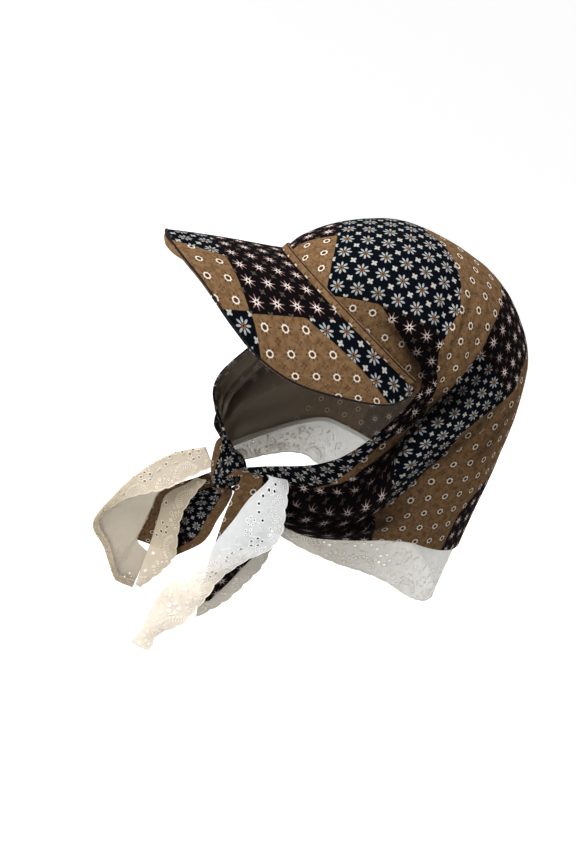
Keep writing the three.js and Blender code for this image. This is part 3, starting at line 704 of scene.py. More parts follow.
# Named values on the hood's points: the cells of each stretch, how far inside each patch a point is in
# millimetres, where each stretch holds, and the shadows. A bare number here is where a patch, a
# stretch or a shadow ends, as a share of u or v, or a line between two motifs.
def hoodFields(u, v):
    share = np.abs(u)
    fields = {key: hoodCells(u, v, **stretch) for key, stretch in stretches.items()}
    fields["strapCells"] = strapCells(u, v)
    cells = fields["cells"].copy()
    cells[..., 1] = np.abs(cells[..., 1] - crownMiddle) + crownMiddle  # the far side mirrors the near one
    stripe = insideStripe(u, v, tanStripe)
    thin = insideStripe(u, v, thinStripe)
    dark = insideStripe(u, v, darkStripe)
    cape = either(insideStripe(u, v, capeTan), np.minimum(insideStripe(u, v, farTan), -u * clothU))
    front = insideStripe(u, v, frontPatch)
    crown = np.minimum(0.5 - share, 0.5 - v) * clothV
    for patch in (stripe, thin, dark, cape):
        crown = np.minimum(crown, -patch)
    crownTan = either(front, np.minimum(insideLines(cells, iHigh=-0.5, jLow=-3.4), crown))
    fields["tanEdge"] = either(crownTan, stripe, thin, cape)
    crownNavy = np.minimum(insideLines(cells, iLow=-0.5, jHigh=0.5), crown)
    navyDark = np.minimum(dark, np.minimum(share - 0.33, 0.66 - share) * clothU)
    navyStrap = np.minimum((share - 0.665) * clothU, np.minimum(-dark, (0.3 - v) * clothV))
    fields["navyEdge"] = either(crownNavy, navyDark, navyStrap)
    jaw = np.minimum((share - 0.52) * clothU, (v - 0.14) * clothV)
    fields["stripeEdge"] = either(stripe, thin, dark, jaw)
    fields["capeEdge"] = either(cape, np.minimum((v - 0.612) * clothV, -dark), (v - 0.618) * clothV)
    fields["strapEdge"] = (share - 0.595 - 0.12 * v) * clothU
    # Painted shade, with the painted shadows of the valleys added: darker on the lower cape, on the front
    # patch by the brow and along the straps.
    low = ease(0.50, 0.66, v) * ease(0.15, 0.4, share)
    browShade = ease(0.15, 0.25, share) * (1 - ease(0.10, 0.15, v)) * (1 - ease(0.5, 0.6, share))
    sides = 0.26 * low + 0.3 * browShade + 0.3 * ease(0.52, 0.7, share)
    fields["paintedShade"] = np.clip(sides + alongLines(shadows, u, v), 0, 0.85)
    return fields


def makeHood():
    u = np.linspace(-1, 1, hoodSize["across"] + 1)[:, None]
    v = np.linspace(0, 1, hoodSize["down"] + 1)[None, :]
    u, v = np.broadcast_arrays(u, v)
    front = calicoMaterial("calico", True)
    reverse = calicoMaterial("calicoReverse", True, hoodSize["veilAndShade"], reverseTone)
    made = makePiece("hoodCloth", hood(u, v), gridFaces(*u.shape), [front, reverse], hoodFields(u, v))
    thicken(made, hoodSize["thick"], reverseSlot=1)
    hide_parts("hood")
    print("hood made")


# Peak: from the face edge of the hood to its own rim, padded, with a dark edge round the rim.
peakSize = dict(thick=2.6, camber=1.5, outset=1.7, reach=0.97, across=180, deep=36, piping=0.6,
                slimmer=0.3, rollStart=-0.10, rollEnd=0.115, rollGirth=1.7)
rim = columns("s x y z", [
    (0.00, 0, -175, -1.5), (0.12, 21.5, -171, -2.5), (0.25, 40.5, -160, -6.5),
    (0.42, 62.5, -139.5, -17), (0.55, 75, -119, -25), (0.70, 84, -92, -27), (0.85, 88, -54, -20.5),
    (0.94, 87, -31, -14), (1.00, 82, -19, -5.5),
])


def peak(s, t):
    s, t = np.broadcast_arrays(np.asarray(s, float), np.asarray(t, float))
    share = 2 * s - 1
    size = np.abs(share)
    inner = smoothHood(share * hoodSize["sideShare"] * peakSize["reach"], 0)
    inner[..., :2] *= 1 + peakSize["outset"] / np.linalg.norm(inner[..., :2], axis=-1, keepdims=True)
    x, y, z = (along(rim, "s", key, size) for key in "xyz")
    made = inner + (point(x * np.sign(share), y, z) - inner) * t[..., None]
    made[..., 2] += peakSize["camber"] * 4 * t * (1 - t) * (1 - size**3)
    return made


# The print's rows follow the peak's length (i) and its columns the arc across it (j). The rows bow
# back towards the sides, and the arc is longer at the rim's corners.
peakPrint = dict(row=12.6, column=13.9, front=138.5, bow=0.0045, corner=18, cornerAt=87, middle=4.05)


def peakCells(p):
    size = np.abs(p[..., 0])
    arc = np.sign(p[..., 0]) * (size + peakPrint["corner"] * (size / peakPrint["cornerAt"]) ** 8)
    i = (p[..., 1] + peakPrint["front"] - peakPrint["bow"] * size**2) / peakPrint["row"]
    return point(i + 0.5, arc / peakPrint["column"] - peakPrint["middle"], 0)


def peakFields(p):
    cells = peakCells(p)
    slant = (cells[..., 1] + 3.0 - 0.42 * cells[..., 0]) * printPitch  # inside a slanting edge at the tip
    tan = either(
        insideLines(cells, iLow=-0.45, jLow=-0.5, dHigh=2.7),
        np.minimum(insideLines(cells, iHigh=-0.5, jHigh=-0.6), slant),
        insideLines(cells, iLow=-0.5, jHigh=-8.5, dHigh=12),
    )
    navy = either(
        insideLines(cells, jLow=-0.5, dLow=2.7),
        insideLines(cells, iHigh=-0.45, jLow=-0.6),
        np.minimum(insideLines(cells, iHigh=-0.5), -slant),
    )
    return dict(cells=cells, tanEdge=tan, navyEdge=navy)


# A tube along a line of points, with its frame from the given outward directions.
def tube(line, away, radius, sides=10):
    tangent = unit(np.gradient(line, axis=0))
    away = unit(away - (away * tangent).sum(-1, keepdims=True) * tangent)
    other = np.cross(tangent, away)
    angle = np.linspace(0, 2 * np.pi, sides, endpoint=False)[None, :, None]
    reach = np.cos(angle) * away[:, None] + np.sin(angle) * other[:, None]
    return line[:, None] + radius * reach, ringFaces(len(line), sides)


def ringFaces(rows, sides):  # tube of rows of rings, and a fan-like cap at each end
    i, j = np.meshgrid(np.arange(rows - 1), np.arange(sides), indexing="ij")
    n = (j + 1) % sides
    around = np.stack([i * sides + j, i * sides + n, (i + 1) * sides + n, (i + 1) * sides + j], -1)
    caps = []
    for row, turn in ((0, -1), (rows - 1, 1)):
        for k in range(1, sides // 2):
            caps.append([row * sides + c for c in (k - 1, k, sides - 1 - k, sides - k)][::turn])
    return np.concatenate([around.reshape(-1, 4), caps])


def makePeak():
    s = np.linspace(0, 1, peakSize["across"] + 1)[:, None]
    t = np.linspace(0, 1, peakSize["deep"] + 1)[None, :]
    p = peak(*np.broadcast_arrays(s, t))
    faces = gridFaces(*p.shape[:2])[:, ::-1]
    sides = [calicoMaterial("peakCalico"), calicoMaterial("peakLining")]
    top = makePiece("peakCloth", p, faces, sides, peakFields(p))
    thicken(top, peakSize["thick"] - peakSize["slimmer"], reverseSlot=1)
    line = peak(s[:, 0], 1.0)
    inward = unit(line - peak(s[:, 0], 0.9))
    line = line + unit(np.cross(np.gradient(line, axis=0), inward)) * -0.9 - inward * 0.2
    nose = np.exp(-(((2 * s - 0.95) / 0.045) ** 2))[..., None]
    edge, edgeFaces = tube(line, inward, peakSize["piping"] + 0.9 * nose)
    piping = makePiece("peakPiping", edge, edgeFaces, [darkCotton])
    share = np.linspace(peakSize["rollStart"], peakSize["rollEnd"], 61)  # the rolled tip, under the rim
    line = peak(0.5 + share / 2, 1.0)
    girth = 0.3 + peakSize["rollGirth"] * (1 - ((share - 0.008) / 0.113) ** 2)
    down = unit(np.cross(np.gradient(line, axis=0), line - peak(0.5 + share / 2, 0.9)))
    down = down * -np.sign(down[:, 2:])
    roll, rollFaces = tube(line + down * (0.5 + girth[:, None] * 0.8), down, girth[:, None, None], 12)
    tip = makePiece("peakRoll", roll, rollFaces, [liningCotton])
    for piece in (top, piping, tip):
        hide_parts("peak")
    print("peak made")


# Band over the seam between peak and hood
bandSize = dict(wide=5.6, thick=1.0, lift=1.9, inset=0.2, reach=0.93, across=240,
                motifs=16.5, printLow=0.60, printWide=0.34)


def nearFaceEdge(u, inset, lift):  # a place on the hood, inset millimetres from the face edge
    v = inset / (np.linalg.norm(smoothHood(u, 0.01) - smoothHood(u, 0), axis=-1) / 0.01)
    return hood(u, v) + outward(smoothHood, u, v) * lift[..., None]


def makeBand():
    u = np.linspace(-1, 1, bandSize["across"] + 1)[:, None] * hoodSize["sideShare"] * bandSize["reach"]
    t = np.linspace(0, 1, 9)[None, :]
    u, t = np.broadcast_arrays(u, t)
    lift = bandSize["lift"] - 0.5 * (2 * t - 1) ** 4
    cells = point(u * bandSize["motifs"], bandSize["printLow"] + bandSize["printWide"] * t, 0)
    fields = dict(cells=cells, tanEdge=0 * u + 5, navyEdge=0 * u - 5)
    # One row of faces by the band's upper edge takes the dark cotton: the stitched seam and the painted
    # shadow of the gap between band and crown.
    slots = np.where((np.arange(8) == 6)[None, :], 1, 0) + np.zeros((bandSize["across"], 1), int)
    p = nearFaceEdge(u, bandSize["inset"] + t * bandSize["wide"], lift)
    made = makePiece("bandCloth", p, gridFaces(*u.shape), [bandCalico, darkCotton], fields, slots)
    thicken(made, bandSize["thick"])
    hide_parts("peak_band")
    print("band made")


# Lace: a sheet (s, t) with t = 1 at its scalloped edge. Its flat coordinates are x along the edge and
# y in from the edge, in millimetres. One repeat of the embroidery is in the tables below.
lacePattern = dict(repeat=40.0, scallop=10.0, rim=0.42, thick=0.4)
eyelets = columns("x y radius", [
    (17, 18.5, 1.0), (22, 20.5, 1.0), (27, 19.5, 1.0), (31.5, 16, 1.0), (36, 9, 0.65), (1, 8, 0.65),
])
flowers = columns("x y ring count radius", [
    (9, 13.5, 3.7, 5, 1.05), (34, 24, 2.5, 5, 0.6), (2, 23, 2.4, 4, 0.6),
])
fans = columns("x y inner outer count", [(21, 1.5, 4.5, 8.5, 11), (39, 0, 3.5, 6.5, 7)])
stems = columns("x y long turn", [
    (13.5, 24, 7, 80), (26, 26, 6, 110), (4.5, 18.5, 5, 60), (30.5, 9, 5, 100), (14, 12, 4, 20),
    (24.5, 14, 5, 150), (33.5, 19.5, 4, 60), (38, 15, 5, 120), (19, 27.5, 5, 30), (9, 28, 5, 140),
])


# Eyelets (x, y, radius) and stitches (x, y, length, half width, turn, bend) of the whole run.
def laceWork(length):
    holes = list(zip(*eyelets.values()))

    def addHoles(x, y, reach, turns, radius):
        ringOf = x + reach * np.cos(turns), y + reach * np.sin(turns), turns * 0 + radius
        holes.extend(zip(*ringOf))

    for x, y, ringRadius, count, radius in zip(*flowers.values()):
        addHoles(x, y, ringRadius, np.arange(count) * 2 * np.pi / count + 0.4, radius)
    stitches = [(x, y, long, 0.5, np.radians(turn), 0.9) for x, y, long, turn in zip(*stems.values())]
    for x, y, inner, outer, count in zip(*fans.values()):
        turns = np.linspace(0.25, np.pi - 0.25, int(count))
        middle = (inner + outer) / 2
        for a in turns:
            stitches.append((x + middle * np.cos(a), y + middle * np.sin(a), outer - inner, 0.34, a, 0))
        addHoles(x, y, outer + 0.8, (turns[1:] + turns[:-1]) / 2, 0.42)
    starts = np.arange(-1, int(length / lacePattern["repeat"]) + 1) * lacePattern["repeat"]

    def repeated(rows):
        rows = np.array(rows)
        return np.concatenate([rows + np.eye(rows.shape[1])[0] * start for start in starts])

    return repeated(holes), repeated(stitches)


def laceEdge(x, deep):  # how far the scalloped edge lies in from its deepest points
    return deep * (1 - np.sqrt(np.abs(np.sin(np.pi * x / lacePattern["scallop"]))))


# Closed small shapes: grids of rows by columns that close both ways or only along the rows.
def smallFaces(rows, cols, count, first, closed):
    i, j = np.meshgrid(np.arange(rows), np.arange(cols if closed else cols - 1), indexing="ij")
    i2, j2 = (i + 1) % rows, (j + 1) % cols
    quads = np.stack([i * cols + j, i2 * cols + j, i2 * cols + j2, i * cols + j2], -1).reshape(-1, 4)
    return (quads + first + rows * cols * np.arange(count)[:, None, None]).reshape(-1, 4)


# Cuts the wanted eyelets out of a flat grid: the faces at each one go, and the points round it move
# onto its circle. One that would run into an earlier one is left out.
def cutEyelets(x, y, faces, wanted):
    middleX, middleY = x[faces].mean(1), y[faces].mean(1)
    kept = np.ones(len(faces), bool)
    cut = []
    for cx, cy, radius in wanted:
        away = np.hypot(middleX - cx, middleY - cy)
        gone = away < max(radius, away.min() + 0.01)
        if kept[gone].all():
            kept &= ~gone
            on = np.unique(faces[gone])
            far = np.maximum(np.hypot(x[on] - cx, y[on] - cy), 1e-6)
            x[on], y[on] = cx + (x[on] - cx) * radius / far, cy + (y[on] - cy) * radius / far
            cut.append((cx, cy, radius))
    used, faces = np.unique(faces[kept], return_inverse=True)
    return x[used], y[used], faces.reshape(-1, 4), np.array(cut)


# Shapes of the raised work, as x, y and height with one row per shape: rims of 12 by 5 points round
# the eyelets, and stitches of 6 by 7 points that bend and taper.
def rimShapes(cut):
    cx, cy, radius = cut.T[:, :, None, None]
    around, turn = np.meshgrid(np.arange(12) * np.pi / 6, np.arange(5) * np.pi * 2 / 5, indexing="ij")
    reach = radius + lacePattern["rim"] * (1 + np.cos(turn))
    height = 0.12 + 0.36 * np.sin(turn) + 0 * reach
    return cx + reach * np.cos(around), cy + reach * np.sin(around), height


def stitchShapes(stitches):
    cx, cy, long, half, turn, bend = stitches.T[:, :, None, None]
    around, lengthwise = np.meshgrid(np.arange(6) * np.pi / 3, np.linspace(-0.98, 0.98, 7), indexing="ij")
    girth = np.sqrt(1 - lengthwise**2) * half
    a = lengthwise * long / 2
    b = girth * np.cos(around) + bend * np.sin(np.pi * lengthwise)
    cos, sin = np.cos(turn), np.sin(turn)
    return cx + a * cos - b * sin, cy + a * sin + b * cos, girth * np.sin(around) * 1.3


# The sheer ground and the raised work on it, whose colours change along the run from the origin.
def makeLace(
    name, node, surface, rows, cols, cottons, ripple=0.8, seed=0, deep=1.6, origin=0.0, opening=0.9
):
    s = np.linspace(0, 1, rows + 1)
    t = np.linspace(0, 1, cols + 1)
    grid = surface(*np.broadcast_arrays(s[:, None], t[None, :]))
    width = gaps(grid, 1).sum(1)
    run = distanceAlong(grid[:, int(cols * 0.8)])
    length = run[-1]

    def lay(x, y):  # flat coordinates to the sheet
        over = y + laceEdge(x, deep) * np.clip(1 - y / 12, 0, 1)
        down = np.clip(1 - over / np.interp(x, run, width), 0, 1)
        wave = ripple * down * unevenness(point(x, y, 0), 46, 14, seed, 10)
        return surface(np.interp(x, run, s), down), wave

    def laid(x, y, height):
        e = 0.3
        way = np.cross(lay(x + e, y)[0] - lay(x - e, y)[0], lay(x, y - e)[0] - lay(x, y + e)[0])
        made, wave = lay(x, y)
        return made + unit(way) * (height + wave)[..., None]

    x = np.repeat(run[:, None], cols + 1, 1).ravel()
    y = ((1 - t)[None, :] * width[:, None]).ravel()
    holes, stitches = laceWork(length)
    holes = holes[(holes[:, 0] > 2) & (holes[:, 0] < length - 2)] * [1, 1, opening]
    holes = holes[holes[:, 1] <= np.interp(holes[:, 0], run, width) - 3]
    x, y, faces, cut = cutEyelets(x, y, gridFaces(rows + 1, cols + 1), holes)
    parts, places, allFaces = [], [], []

    def add(shapes, rowsOf, colsOf, closed):  # shapes: x, y and height, each one row per shape
        first = sum(len(part) for part in parts)
        parts.append(laid(*(values.ravel() for values in shapes)))
        places.append(shapes[0].ravel())
        allFaces.append(smallFaces(rowsOf, colsOf, len(shapes[0]), first, closed))

    add(rimShapes(cut), 12, 5, True)
    on = (stitches[:, 0] > 4) & (stitches[:, 0] < length - 4)
    on &= stitches[:, 1] < np.interp(stitches[:, 0], run, width) - 6
    add(stitchShapes(stitches[on]), 6, 7, False)
    cordX = np.linspace(0.5, length - 0.5, int(length / 0.8))
    cordX, turn = np.meshgrid(cordX, np.arange(6) * np.pi / 3, indexing="ij")
    first = sum(len(part) for part in parts)
    parts.append(laid(cordX.ravel(), (0.4 + 0.5 * np.cos(turn)).ravel(), (0.5 * np.sin(turn)).ravel()))
    places.append(cordX.ravel())
    allFaces.append(ringFaces(len(cordX), 6) + first)
    share = [np.abs(value / length - origin) / (1 - origin) for value in (x, np.concatenate(places))]
    ground = makePiece(name, laid(x, y, 0 * x), faces, cottons[:1], dict(run=share[0]))
    thicken(ground, lacePattern["thick"])
    points, faces = np.concatenate(parts), np.concatenate(allFaces)
    work = makePiece(name + "Work", points, faces, cottons[1:], dict(run=share[1]))
    for piece in (ground, work):
        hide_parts(node)
    print(name, "made:", len(cut), "eyelets,", round(length), "by", round(width.max()), "mm")


# Hem lace: sewn behind the hem, turns down from the cloth and swings out.
hemSize = dict(overlap=4, turn=12, reach=0.84, lift=1.65, rows=560, cols=44)
hemDepth = columns("u depth flare", [
    (0, 42, 7), (0.3, 43, 8), (0.5, 36, 7), (0.62, 27, 4), (0.74, 16, 2), (0.84, 10, 1),
])


def hemLace(s, t):
    u = (2 * s - 1) * hemSize["reach"]
    size = np.abs(u)
    depth = along(hemDepth, "u", "depth", size)
    tangent = smoothHood(u, 1) - smoothHood(u, 0.99)
    perV = np.linalg.norm(tangent, axis=-1) / 0.01
    out = outward(smoothHood, u, 1)
    down = t * (depth + hemSize["overlap"]) - hemSize["overlap"]
    start = hood(u, 1 + np.minimum(down, 0) / perV) - out * hemSize["lift"]
    fall = unit(out * [1, 1, 0]) * (along(hemDepth, "u", "flare", size) / depth)[..., None] - [0, 0, 1]
    drop = np.maximum(down, 0)
    bend = hemSize["turn"]
    straight = np.where(drop < bend, drop - drop**2 / (2 * bend), bend / 2)
    return start + unit(tangent) * straight[..., None] + fall * (drop - straight)[..., None]


# Ties: the tie ends hang from the knot. Their tables run down each strip and place its edges a and b
# (and the flap's edge c) by the way across, down and out from a corner, in millimetres.
tieWay = dict(across=(0.545, 0.839, 0), out=(0.839, -0.545, 0))
tieSize = dict(thick=1.1, uneven=0.7)
corners = dict(near=(31, -43, -118), far=(-34, -50, -131))
threeEdges = "a aDown aOut b bDown bOut c cDown cOut"
twoEdges = "a aDown aOut b bDown bOut"
nearCloth = columns(twoEdges, [
    (-22, 14, -16, -19, 5, -15), (-14, 5, -6, 1, -4, -3), (-12, 14, -1, 12, 6, 1),
    (-9, 32, -1, 22, 20, 2), (-5, 50, -2, 24, 38, -1), (-1, 67, -3, 21, 56, -3),
    (4, 83, -3, 18, 74, -5), (8, 99, -3, 14, 93, -5),
])
nearLace = columns(twoEdges, [
    (0, -9, 1.5, 14, -14, 1), (3, -6, 2, 19, -8, 6), (-1, 13, 1.5, 25, 4, 9), (-2, 31, 1.3, 30, 16, 9),
    (-4, 50, -0.3, 30, 31, 6), (-5, 70, -1.2, 21, 48, 4), (-7, 86, 0, 13, 71, 2),
    (-13, 92, 0, 12, 88, 4), (-17, 102, 2, 10, 101, 2), (-17, 118, 0, 8, 115, 4),
    (-15, 136, 2, -2, 133, 1), (-16, 150, 0, -1, 147, 3),
])
nearBackLace = columns(twoEdges, [
    (24, 34, -1.9, 29, 31, -6), (24, 42, -3, 31, 38, -8), (21, 56, -4.7, 32, 53, -8),
    (18, 73, -6.6, 29, 69, -8), (14, 88, -6.8, 24, 89, -7), (9, 101, -6.5, 13, 111, -6),
])
farCloth = columns(twoEdges, [
    (9.8, 11.5, 6, 18.5, 13.5, 8.4), (2, 24, -1, 27, 19, 4), (-8, 38, -3, 29, 30, 4),
    (-18, 54, -3, 29, 44, 3), (-16, 67, -3, 30, 56, 4), (-15, 81, -4, 28, 67, 3),
    (-14, 94, -4, 18, 85, 1),
])
farInnerLace = columns(twoEdges, [
    (0, 26, 1, 8, 21, 6), (-3, 34, 0, 7, 28, 6), (-9, 44, -1.4, 6, 40, 5), (-12, 53, -1.4, 6, 50, 5),
    (-9, 65, -0.9, 8, 60, 4), (-6, 77, -1.5, 13, 72, 5), (-3, 89, -1.4, 18, 84, 4),
    (0, 104, 0, 16, 100, 4), (4, 122, 1, 9, 121, 2),
])
farOuterLace = columns(threeEdges, [
    (6, 11, 3.5, -5, 2, 5, 7, 9, 8.5), (-3, 24, 3, -20, 16, 6, -4, 28, 8.5),
    (-11, 40, 0.5, -30, 32, 6, -13, 43, 8.5), (-17, 53, -1.4, -37, 50, 5, -25, 56, 8.5),
    (-16, 61, -1.4, -42, 70, 4, -36, 70, 7.5), (-15, 69, -1.4, -45, 97, 3, -42.5, 93, 5.8),
    (-14, 78, -2.1, -30, 109, 1, -28, 105, 4), (-13.5, 86, -2.3, -19, 119, 1, -18, 114, 4),
    (-11.5, 94, -2.6, -10, 127, -1, -10, 122, 2), (-1, 97, -3.3, 3, 126, -3.6, 2.5, 121, -0.8),
])


def edgesAt(corner, rows, s):  # the strip's edges at a share s of the way down it
    rows = dict(rows, p=np.linspace(0, 1, len(rows["a"])))
    found = []
    for key in [key for key in "abc" if key in rows]:
        across, down, out = (along(rows, "p", key + end, s) for end in ("", "Down", "Out"))
        way = np.multiply.outer(across, tieWay["across"]) + np.multiply.outer(down, (0, 0, -1))
        found.append(np.array(corners[corner], float) + (way + np.multiply.outer(out, tieWay["out"])))
    return found


def strip(corner, rows, belly=0.0):  # the surface (s, t) between a and b, bowed forwards
    def surface(s, t):
        a, b = edgesAt(corner, rows, s)
        bow = (belly * 4 * t * (1 - t))[..., None] * np.array(tieWay["out"])
        return a + (b - a) * t[..., None] + bow

    return surface


def flapStrip(corner, rows, gap=2.2):  # from a to b, round a fold, and back in front to c
    def surface(s, t):
        a, b, c = edgesAt(corner, rows, s)
        out = np.array(tieWay["out"])
        way = unit(b - a)
        share = t[..., None]
        fold = np.clip((share - 0.45) / 0.1, 0, 1) * np.pi
        back = a + (b - a) * np.clip(share / 0.45, 0, 1)
        turned = b + out * gap / 2 * (1 - np.cos(fold)) + way * gap / 2 * np.sin(fold)
        front = b + out * gap + (c - b - out * gap) * np.clip((share - 0.55) / 0.45, 0, 1)
        return np.where(share < 0.45, back, np.where(share < 0.55, turned, front))

    return surface


# Patches of the tie ends, by millimetres down the tie, across it and from its far edge: tan and navy.
def leftPatches(x, y, rest):
    return np.minimum(16 - y, 72 - x), 0 * x - 5


def rightPatches(x, y, rest):
    return either(np.minimum(y - 1, 15 - y), 7 - rest), np.minimum(y - 15, 60 - x)


def makeTieEnd(name, node, surface, rows, cols, pitch, bare, patches):
    s, t = np.linspace(0, 1, rows + 1)[:, None], np.linspace(0, 1, cols + 1)[None, :]
    s, t = np.broadcast_arrays(s, t)
    p = surface(s, t)
    width, run = gaps(p, 1).sum(1), distanceAlong(p[:, cols // 2])
    x, y = run[:, None] + 0 * s, t * width[:, None]
    rest = width[:, None] - y
    tan, navy = patches(x, y, rest)
    row = y / pitch + 0.5
    plain = rest < bare  # between two rows of rings, where only the ground shows
    cells = point(x / pitch, np.where(plain, np.floor(row) + 0.167, row), np.where(plain, row, 0))
    fields = dict(cells=cells, tanEdge=tan, navyEdge=navy)
    p = p + outward(surface, s, t, 0.0) * (tieSize["uneven"] * unevenness(p, 50, 12, 5))[..., None]
    made = makePiece(name, p, gridFaces(*s.shape)[:, ::-1], [tieCalicoInShade], fields)
    thicken(made, tieSize["thick"])
    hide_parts(node)
    print(name, "made")


# Knot: a core and the wrap over it. Each has its middle, its half axes (long, wide, deep), how far its
# grooves stand out, and the millimetres of print to a radian along it and round it.
knot = dict(
    core=dict(middle=(-10.5, -45, -131), halves=(16, 10, 12), height=0.06, cloth=(17, 13)),
    wrap=dict(middle=(-13.5, -48.5, -133), halves=(20, 8.5, 9), height=0.09, cloth=(22, 12)),
    rows=90,
    sides=120,
)


# An egg whose rings swell and narrow with three grooves that wind along it, and with slimmer ends.
def lump(ways, middle, halves, height, cloth):
    polar = np.linspace(0.015, 0.985, knot["rows"]) * np.pi
    angle = np.arange(knot["sides"]) * 2 * np.pi / knot["sides"]
    polar, angle = np.meshgrid(polar, angle, indexing="ij")
    swell = 1 + height * np.sin(3 * angle + 2.2 * np.cos(polar)) * np.sin(polar)
    waist = np.sin(polar) ** 0.8 * swell
    parts = [
        halves[0] * np.cos(polar),
        halves[1] * waist * np.cos(angle),
        halves[2] * waist * np.sin(angle),
    ]
    points = np.array(middle) + sum(part[..., None] * way for part, way in zip(parts, ways))
    return points, point(polar * cloth[0] / printPitch, angle * cloth[1] / printPitch, 0), polar, angle


def makeKnot(ways):
    right, up = ways[:2]
    core, coreCells, polar, angle = lump(np.eye(3), **knot["core"])
    wrap, wrapCells, _, _ = lump((up, right, np.cross(up, right)), **knot["wrap"])
    points = np.concatenate([core.reshape(-1, 3), wrap.reshape(-1, 3)])
    faces = ringFaces(*polar.shape)
    faces = np.concatenate([faces, faces + polar.size])
    cells = np.concatenate([coreCells, wrapCells + [0, 0.25, 0]]).reshape(-1, 3)
    leftSide = -np.cos(angle) * 8 - 1.2 - 7 * ease(0.9, 2.2, polar)
    tan = [0 * polar - 5, either(leftSide, (polar - 2.45) * 14)]
    fields = dict(cells=cells, tanEdge=np.ravel(tan), navyEdge=0 * np.ravel(tan) + 5)
    made = makePiece("knotCloth", points, faces, [tieCalicoInShade], fields)
    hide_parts("knot")
    print("knot made")


darkCotton = plainCotton("darkCotton", (0.010, 0.009, 0.011, 1), (0.016, 0.013, 0.013, 1))
liningCotton = plainCotton("liningCotton", (0.19, 0.112, 0.055, 1), (0.14, 0.080, 0.038, 1))
bandCalico = calicoMaterial("bandCalico")
# The ties and the knot take the print with painted shade: a share of 0.36 towards black.
tieCalicoInShade = calicoMaterial("tieCalicoInShade", veilAndShade=0.36)


# Ground and raised work, each with a colour at the start and at the end of the run. The colours
# change between low and high, and only the ground is sheer.
def laceCottons(name, ground, work, low, high, alpha):
    found = []
    for part, (first, last), seen in (("Ground", ground, alpha), ("Work", work, 1.0)):
        made, tree, shader = newMaterial(name + part, 0.9, 0.02)
        shader.inputs["Alpha"].default_value = seen
        colour = blend(tree, step(tree, attribute(tree, "run"), low, high), first + (1,), last + (1,))
        addCloudedWeave(tree, shader, colour, blend(tree, 0.1, colour, (0.3, 0.27, 0.22, 1)))
        found.append(made)
    return found


nearCotton = laceCottons("nearLace", ((0.85, 0.86, 0.865), (0.89, 0.785, 0.645)),
                         ((0.93, 0.93, 0.92), (0.93, 0.86, 0.75)), 0.3, 0.7, 0.68)
# The back lace: the same lace in darker colours, as painted shade.
backCottonInShade = laceCottons("backLaceInShade", ((0.47, 0.43, 0.36), (0.62, 0.57, 0.48)),
                         ((0.62, 0.58, 0.50), (0.75, 0.71, 0.63)), 0.2, 0.8, 0.8)
farCotton = laceCottons("farLace", ((0.80, 0.70, 0.56), (0.52, 0.44, 0.32)),
                        ((0.90, 0.81, 0.69), (0.68, 0.58, 0.44)), 0.25, 0.6, 0.72)
# The inner lace: the same lace in darker colours, as painted shade.
innerCottonInShade = laceCottons("innerLaceInShade", ((0.46, 0.39, 0.29), (0.60, 0.51, 0.39)),
                          ((0.64, 0.56, 0.44), (0.76, 0.67, 0.54)), 0.2, 0.8, 0.8)
# The hem lace darkens from its middle towards both ends: painted shade.
hemCottonShadedEnds = laceCottons("hemLace", ((0.93, 0.93, 0.90), (0.42, 0.385, 0.31)),
                        ((0.98, 0.95, 0.87), (0.66, 0.60, 0.50)), 0.4, 0.85, 0.64)


def makeTies(ways):
    left, right = strip("near", nearCloth), strip("far", farCloth, -1)
    makeTieEnd("leftTie", "left_tie_end", left, 160, 40, pitch=12.0, bare=0, patches=leftPatches)
    makeTieEnd("rightTie", "right_tie_end", right, 140, 60, pitch=9.2, bare=8, patches=rightPatches)
    front, back = strip("near", nearLace, 1.5), strip("near", nearBackLace, 0.5)
    makeLace("leftTieLace", "left_tie_lace", front, 170, 34, nearCotton, seed=11)
    makeLace(
        "leftTieBackLace", "left_tie_back_lace", back, 80, 10, backCottonInShade, ripple=0.3, seed=12
    )
    outer, inner = flapStrip("far", farOuterLace), strip("far", farInnerLace, 1)
    makeLace("rightTieLace", "right_tie_lace", outer, 150, 64, farCotton, ripple=0.5, seed=13)
    makeLace(
        "rightTieInnerLace", "right_tie_inner_lace", inner, 110, 22, innerCottonInShade,
        ripple=0.4, seed=14,
    )
    makeKnot(ways)


# Stage: a wide white dish below the hat, lit by soft lamps placed by the picture's own right, up and
# towards the camera. Its lengths are in metres.
stage = dict(below=0.06, radius=14.0, rise=6.0, rings=40, sides=64)
stageLight = dict(white=(0.9, 0.9, 0.9, 1), glow=0.62, world=0.39)
lamps = columns("right up near size power", [
    (-0.55, 1.5, 0.9, 1.0, 40), (1.5, 0.3, 1.2, 1.4, 9), (-1.4, 0.0, 1.0, 1.4, 9),
])


def makeLamps(ways):
    aim = np.array([0, 0, -0.14])
    for k, (right, up, near, size, power) in enumerate(zip(*lamps.values())):
        data = bpy.data.lights.new("lamp%d" % k, "AREA")
        data.shape, data.size, data.energy = "DISK", size, power
        made = bpy.data.objects.new("lamp%d" % k, data)
        spot = aim + np.array([right, up, near]) @ ways
        back = unit(spot - aim)
        side = unit(np.cross([0.1, 0.2, 1], back))
        stand(made, spot, side, back)


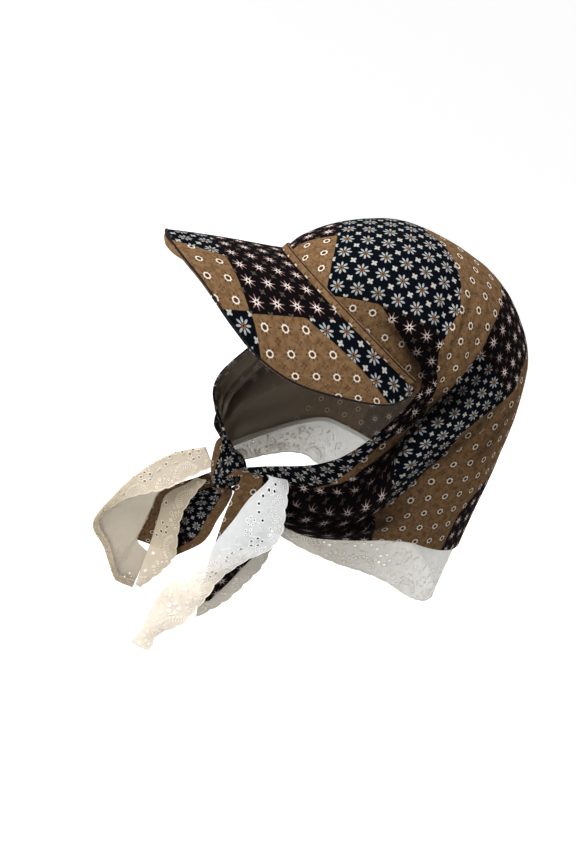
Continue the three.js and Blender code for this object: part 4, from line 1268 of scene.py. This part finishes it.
def seenOnly(tree, seen, unseen):  # one strength for the camera and another for light that bounces
    path = tree.nodes.new("ShaderNodeLightPath")
    return calc(tree, "ADD", calc(tree, "MULTIPLY", path.outputs["Is Camera Ray"], seen - unseen), unseen)


def makeStage(ways):
    rings, sides = stage["rings"], stage["sides"]
    radius, turn = np.linspace(0, 1, rings + 1)[1:], np.arange(sides) * 2 * np.pi / sides
    radius, turn = np.meshgrid(radius, turn, indexing="ij")
    low = cadBox[0].z - stage["below"]
    rise = stage["rise"] * np.clip((radius - 0.2) / 0.8, 0, 1) ** 2
    reach = radius * stage["radius"]
    p = point(reach * np.cos(turn), reach * np.sin(turn), low + rise)
    mesh = bpy.data.meshes.new("floor")
    i, j = np.divmod(smallFaces(sides, rings, 1, 0, False), rings)
    centre = [list(range(sides - 1, -1, -1))]
    mesh.from_pydata(p.reshape(-1, 3).tolist(), [], (j * sides + i).tolist() + centre)
    made, tree, shader = newMaterial("floorPaint", 0.95)
    shader.inputs["Base Color"].default_value = stageLight["white"]
    shader.inputs["Emission Color"].default_value = (1, 1, 1, 1)
    tree.links.new(seenOnly(tree, stageLight["glow"], 0), shader.inputs["Emission Strength"])
    mesh.materials.append(made)
    mesh.polygons.foreach_set("use_smooth", np.ones(len(mesh.polygons), bool))
    floor = bpy.data.objects.new("floor", mesh)
    bpy.context.scene.collection.objects.link(floor)
    world = bpy.data.worlds.new("studio")
    world.use_nodes = True
    background = world.node_tree.nodes["Background"]
    background.inputs[0].default_value = (1, 1, 1, 1)
    world.node_tree.links.new(seenOnly(world.node_tree, 1.0, stageLight["world"]), background.inputs[1])
    bpy.context.scene.world = world
    bpy.context.scene.view_settings.view_transform = "Standard"
    makeLamps(ways)
    print("stage made")


ways = makeCamera()
makeStage(ways)
makeHood()
makePeak()
makeBand()
makeLace(
    "hemLace", "hem_lace", hemLace, hemSize["rows"], hemSize["cols"], hemCottonShadedEnds,
    ripple=1.2, seed=10, deep=0.6, origin=0.5, opening=0.65,
)
makeTies(ways)
